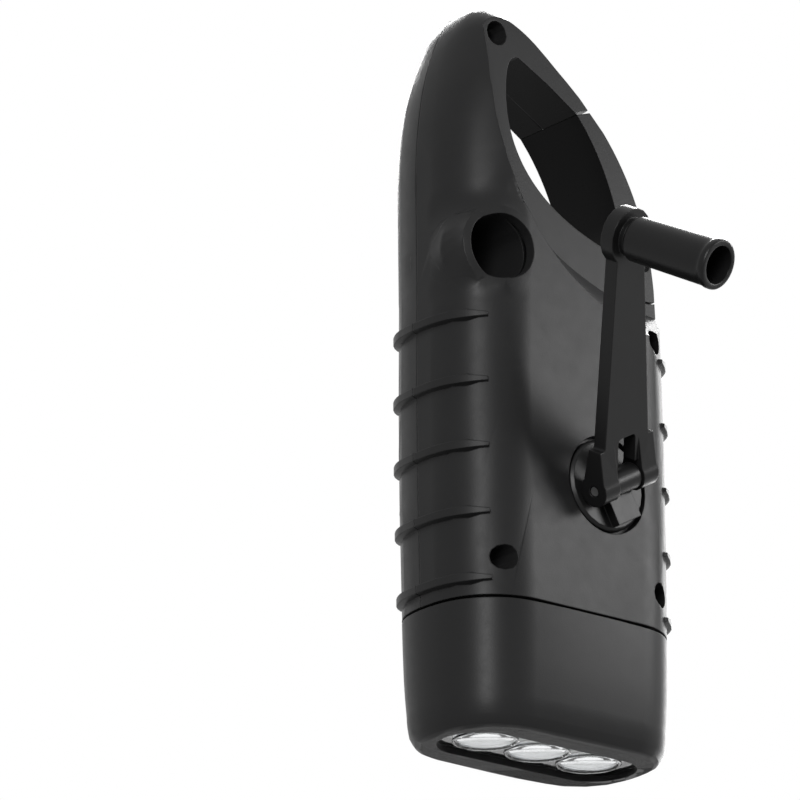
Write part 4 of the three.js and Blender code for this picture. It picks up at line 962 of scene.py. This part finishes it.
def plated(name):
    """Vacuum-plated aluminium on a moulded cup: bright, with a faint haze."""
    hazy, bright = (0.86, 0.87, 0.88, 1), (0.93, 0.93, 0.94, 1)
    finish = Finish(bpy.data.materials.new(name))
    place = finish.node("TexCoord", "Object")
    haze = finish.node("TexNoise", "Fac", {"Vector": place, "Scale": 500, "Detail": 3})
    return surface(
        finish,
        {
            "Base Color": finish.blend(haze, hazy, bright),
            "Metallic": 1.0,
            "Roughness": 0.1 + haze * 0.1,
            "Normal": finish.node(
                "Bump",
                "Normal",
                {"Strength": 0.3, "Distance": 0.04 * mm, "Height": haze},
            ),
        },
    )


cup_rings = [
    (2.8, 8.7),
    (3.3, 8.7),
    (3.9, 8.0),
    (4.45, 7.0),
    (4.9, 5.8),
    (5.2, 4.4),
    (5.38, 3.2),
    (5.4, 2.75),
    (4.95, 2.75),
    (4.9, 3.2),
    (4.72, 4.4),
    (4.6, 4.5),
    (4.35, 5.8),
    (4.2, 5.9),
    (3.85, 7.0),
    (3.7, 7.1),
    (3.25, 8.0),
    (2.8, 8.4),
    (2.8, 8.7),
]
led_rings = [
    (0.02, 4.15),
    (0.7, 4.25),
    (1.3, 4.6),
    (1.85, 5.15),
    (2.2, 5.8),
    (2.38, 6.5),
    (2.4, 9.0),
    (2.7, 9.05),
    (2.7, 9.85),
    (0.02, 9.85),
]
silver = plated("plated_silver")
resin = clear_plastic("clear_resin", roughness=0.03, ior=1.5, tone=(0.97, 0.97, 0.93))
for number, place_x in enumerate(lamp_places, start=1):
    spot = on_case(place_x * lamp_pitch, 0, 0)
    cup = turned(f"reflector_cup_{number}", cup_rings, sides=64)
    stand(cup, spot, (0, 0, 1))
    finish_piece(cup, "body", silver, [f"reflector_{number}"])
    bulb = turned(f"led_bulb_{number}", led_rings, sides=48, closed=False)
    stand(bulb, spot, (0, 0, 1))
    finish_piece(bulb, "body", resin, [f"led_{number}"])


def lozenge(name, long, wide, under, over):
    """A flat plate with round ends, in millimetres, between two heights."""
    end_flat = 0.2
    deselect()
    bpy.ops.mesh.primitive_cube_add(
        size=1,
        location=on_case(0, 0, (under + over) / 2),
        scale=(long * mm, wide * mm, (over - under) * mm),
    )
    plate = bpy.context.object
    plate.name = plate.data.name = name
    bpy.ops.object.transform_apply()
    bpy.ops.object.mode_set(mode="EDIT")
    bpy.ops.mesh.select_all(action="DESELECT")
    bpy.ops.object.mode_set(mode="OBJECT")
    for edge in plate.data.edges:
        first, second = (plate.data.vertices[i].co for i in edge.vertices)
        edge.select = abs(first.z - second.z) > 0.5 * (over - under) * mm
    bpy.ops.object.mode_set(mode="EDIT")
    bpy.ops.mesh.bevel(
        offset=(wide - end_flat) / 2 * mm,
        offset_type="OFFSET",
        segments=24,
        clamp_overlap=True,
    )
    bpy.ops.object.mode_set(mode="OBJECT")
    return plate


def combine(piece, other, operation):
    """Joins another piece to this one, or cuts it out, and takes the other away."""
    choose(piece)
    joint = piece.modifiers.new("combine", "BOOLEAN")
    joint.operation, joint.object, joint.solver = operation, other, "EXACT"
    bpy.ops.object.modifier_apply(modifier=joint.name)
    bpy.data.objects.remove(other)


lens = lozenge("clear_lens", long=40.6, wide=15.2, under=1.32, over=2.65)
plateau = lozenge("lens_plateau", long=39.1, wide=13.7, under=0.92, over=1.9)
combine(lens, plateau, "UNION")
dome_rings = [
    (0.02, 0.51),
    (1.0, 0.52),
    (2.0, 0.55),
    (3.0, 0.61),
    (3.8, 0.69),
    (4.4, 0.79),
    (4.75, 0.9),
    (4.85, 1.05),
    (5.0, 1.05),
    (5.1, 0.72),
    (5.2, 0.64),
    (5.4, 0.64),
    (5.55, 0.74),
    (5.6, 0.95),
    (5.6, 1.7),
    (0.02, 1.7),
]
for number, place_x in enumerate(lamp_places, start=1):
    dome = turned(f"lens_dome_{number}", dome_rings, closed=False)
    combine(lens, stand(dome, on_case(place_x * lamp_pitch, 0, 0), (0, 0, 1)), "UNION")
acrylic = clear_plastic(
    "clear_acrylic", roughness=0.02, ior=1.49, tone=(0.97, 0.985, 0.99)
)
finish_piece(lens, "body", acrylic, replaces=["lens"])

# ---- Case screws -------------------------------------------------------------------
# Four steel tapping screws hold the shells together, each at the foot of a deep bore
# on the crank side. The head is domed, with a cross recess.
cross_size, cross_height = (2.1 * mm, 0.55 * mm, 1.5 * mm), 1.5 * mm
screw_rings = [
    (0.02, -9.0),
    (0.35, -8.6),
    (0.98, -7.4),
    (1.0, 0.0),
    (1.9, 0.0),
    (1.9, 0.75),
    (1.8, 0.98),
    (1.5, 1.2),
    (1.0, 1.34),
    (0.5, 1.39),
    (0.02, 1.4),
]
screw = turned("screw", screw_rings, sides=32, closed=False)
for turn in (0, 90):
    deselect()
    bpy.ops.mesh.primitive_cube_add(
        size=1, location=(0, 0, cross_height), scale=cross_size
    )
    cutter = bpy.context.object
    cutter.rotation_euler = (0, 0, math.radians(turn))
    bpy.ops.object.transform_apply()
    bpy.ops.object.mode_set(mode="EDIT")
    bpy.ops.mesh.select_all(action="SELECT")
    bpy.ops.mesh.bevel(offset=0.08 * mm, segments=2, clamp_overlap=True)
    bpy.ops.object.mode_set(mode="OBJECT")
    combine(screw, cutter, "DIFFERENCE")
for node, spot, turn in (
    ("case_screw_low_spine", (17.2, 4.6, 28.4), 20),
    ("case_screw_low_gate", (-17.2, 4.6, 28.4), 55),
    ("case_screw_mid", (-17.4, 4.6, 73.6), 8),
    ("case_screw_top", (12.798, 2.2, 124.28), 35),
):
    copy = bpy.data.objects.new(node.replace("case", "tapping"), screw.data.copy())
    bpy.context.collection.objects.link(copy)
    choose(copy)
    copy.rotation_euler = (0, 0, math.radians(turn))
    bpy.ops.object.transform_apply(location=True, rotation=True, scale=True)
    stand(copy, on_case(*spot), (0, 1, 0))
    finish_piece(copy, "body", pin_steel, replaces=[node])
bpy.data.objects.remove(screw)
for number in (1, 2, 3):
    dress(f"frame_screw_{number}", pin_steel)

# ---- Inside the case ---------------------------------------------------------------
# Gear train and generator on a nylon frame, circuit boards, cell and switch. None of
# them shows while the case is shut, so the solids stay and only get their finish.


def plain_part(name, light, dark, roughness, size, metallic=0.0):
    """Two tones of one colour in soft clouds, with matching roughness and relief."""
    finish = Finish(bpy.data.materials.new(name))
    place = finish.node("TexCoord", "Object")
    cloud = finish.node(
        "TexNoise",
        "Fac",
        {"Vector": place, "Scale": 1 / size, "Detail": 3, "Roughness": 0.6},
    )
    return surface(
        finish,
        {
            "Base Color": finish.blend(cloud, (*dark, 1), (*light, 1)),
            "Metallic": metallic,
            "Roughness": roughness + (cloud - 0.5) * 0.2,
            "Normal": finish.node(
                "Bump",
                "Normal",
                {"Strength": 0.3, "Distance": 0.02 * mm, "Height": cloud},
            ),
        },
    )


acetal = plain_part(
    "natural_acetal",
    light=(0.88, 0.87, 0.82),
    dark=(0.8, 0.79, 0.73),
    roughness=0.4,
    size=1.5 * mm,
)
nylon = plain_part(
    "pale_nylon",
    light=(0.78, 0.77, 0.72),
    dark=(0.7, 0.68, 0.62),
    roughness=0.5,
    size=1.2 * mm,
)
brass = plain_part(
    "machined_brass",
    light=(0.76, 0.6, 0.32),
    dark=(0.62, 0.47, 0.22),
    roughness=0.3,
    size=0.8 * mm,
    metallic=1.0,
)
ferrite = plain_part(
    "bonded_ferrite",
    light=(0.14, 0.14, 0.15),
    dark=(0.07, 0.07, 0.075),
    roughness=0.65,
    size=0.5 * mm,
)
mask_green = plain_part(
    "solder_mask",
    light=(0.03, 0.2, 0.1),
    dark=(0.02, 0.13, 0.07),
    roughness=0.35,
    size=2.5 * mm,
)
shrink_wrap = plain_part(
    "cell_shrink_wrap",
    light=(0.05, 0.24, 0.1),
    dark=(0.03, 0.17, 0.07),
    roughness=0.25,
    size=3 * mm,
)
switch_black = plain_part(
    "switch_black",
    light=(0.05, 0.05, 0.055),
    dark=(0.03, 0.03, 0.033),
    roughness=0.5,
    size=0.8 * mm,
)
pressed_steel = plain_part(
    "pressed_steel",
    light=(0.6, 0.6, 0.62),
    dark=(0.45, 0.45, 0.47),
    roughness=0.38,
    size=2 * mm,
    metallic=1.0,
)


def winding():
    """Enamelled copper wire, wound in even turns round the coil's axis."""
    # Painted shade in the grooves between the turns and a painted highlight on their
    # crowns.
    shaded, lit = (0.32, 0.12, 0.04, 1), (0.72, 0.33, 0.14, 1)
    finish = Finish(bpy.data.materials.new("enamelled_copper"))
    place = finish.node("TexCoord", "Object")
    turns = finish.node(
        "TexWave",
        "Fac",
        {"Vector": place, "Scale": 1250, "Distortion": 1.5, "Detail": 1},
        bands_direction="Y",
    )
    return surface(
        finish,
        {
            "Base Color": finish.blend(turns, shaded, lit),
            "Metallic": 0.8,
            "Roughness": 0.42 - turns * 0.16,
            "Normal": finish.node(
                "Bump",
                "Normal",
                {"Strength": 0.8, "Distance": 0.08 * mm, "Height": turns},
            ),
        },
    )


copper = winding()
for material, nodes in (
    (acetal, ("crank_gear", "gear_a", "gear_b")),
    (nylon, ("gear_frame",)),
    (brass, ("crank_bush", "rotor_pinion")),
    (ferrite, ("rotor_magnet",)),
    (mask_green, ("led_board", "main_board")),
    (shrink_wrap, ("rechargeable_cell",)),
    (switch_black, ("switch_body", "switch_plunger")),
    (pressed_steel, ("stator_can",)),
    (copper, ("stator_coil",)),
):
    for node in nodes:
        dress(node, material)
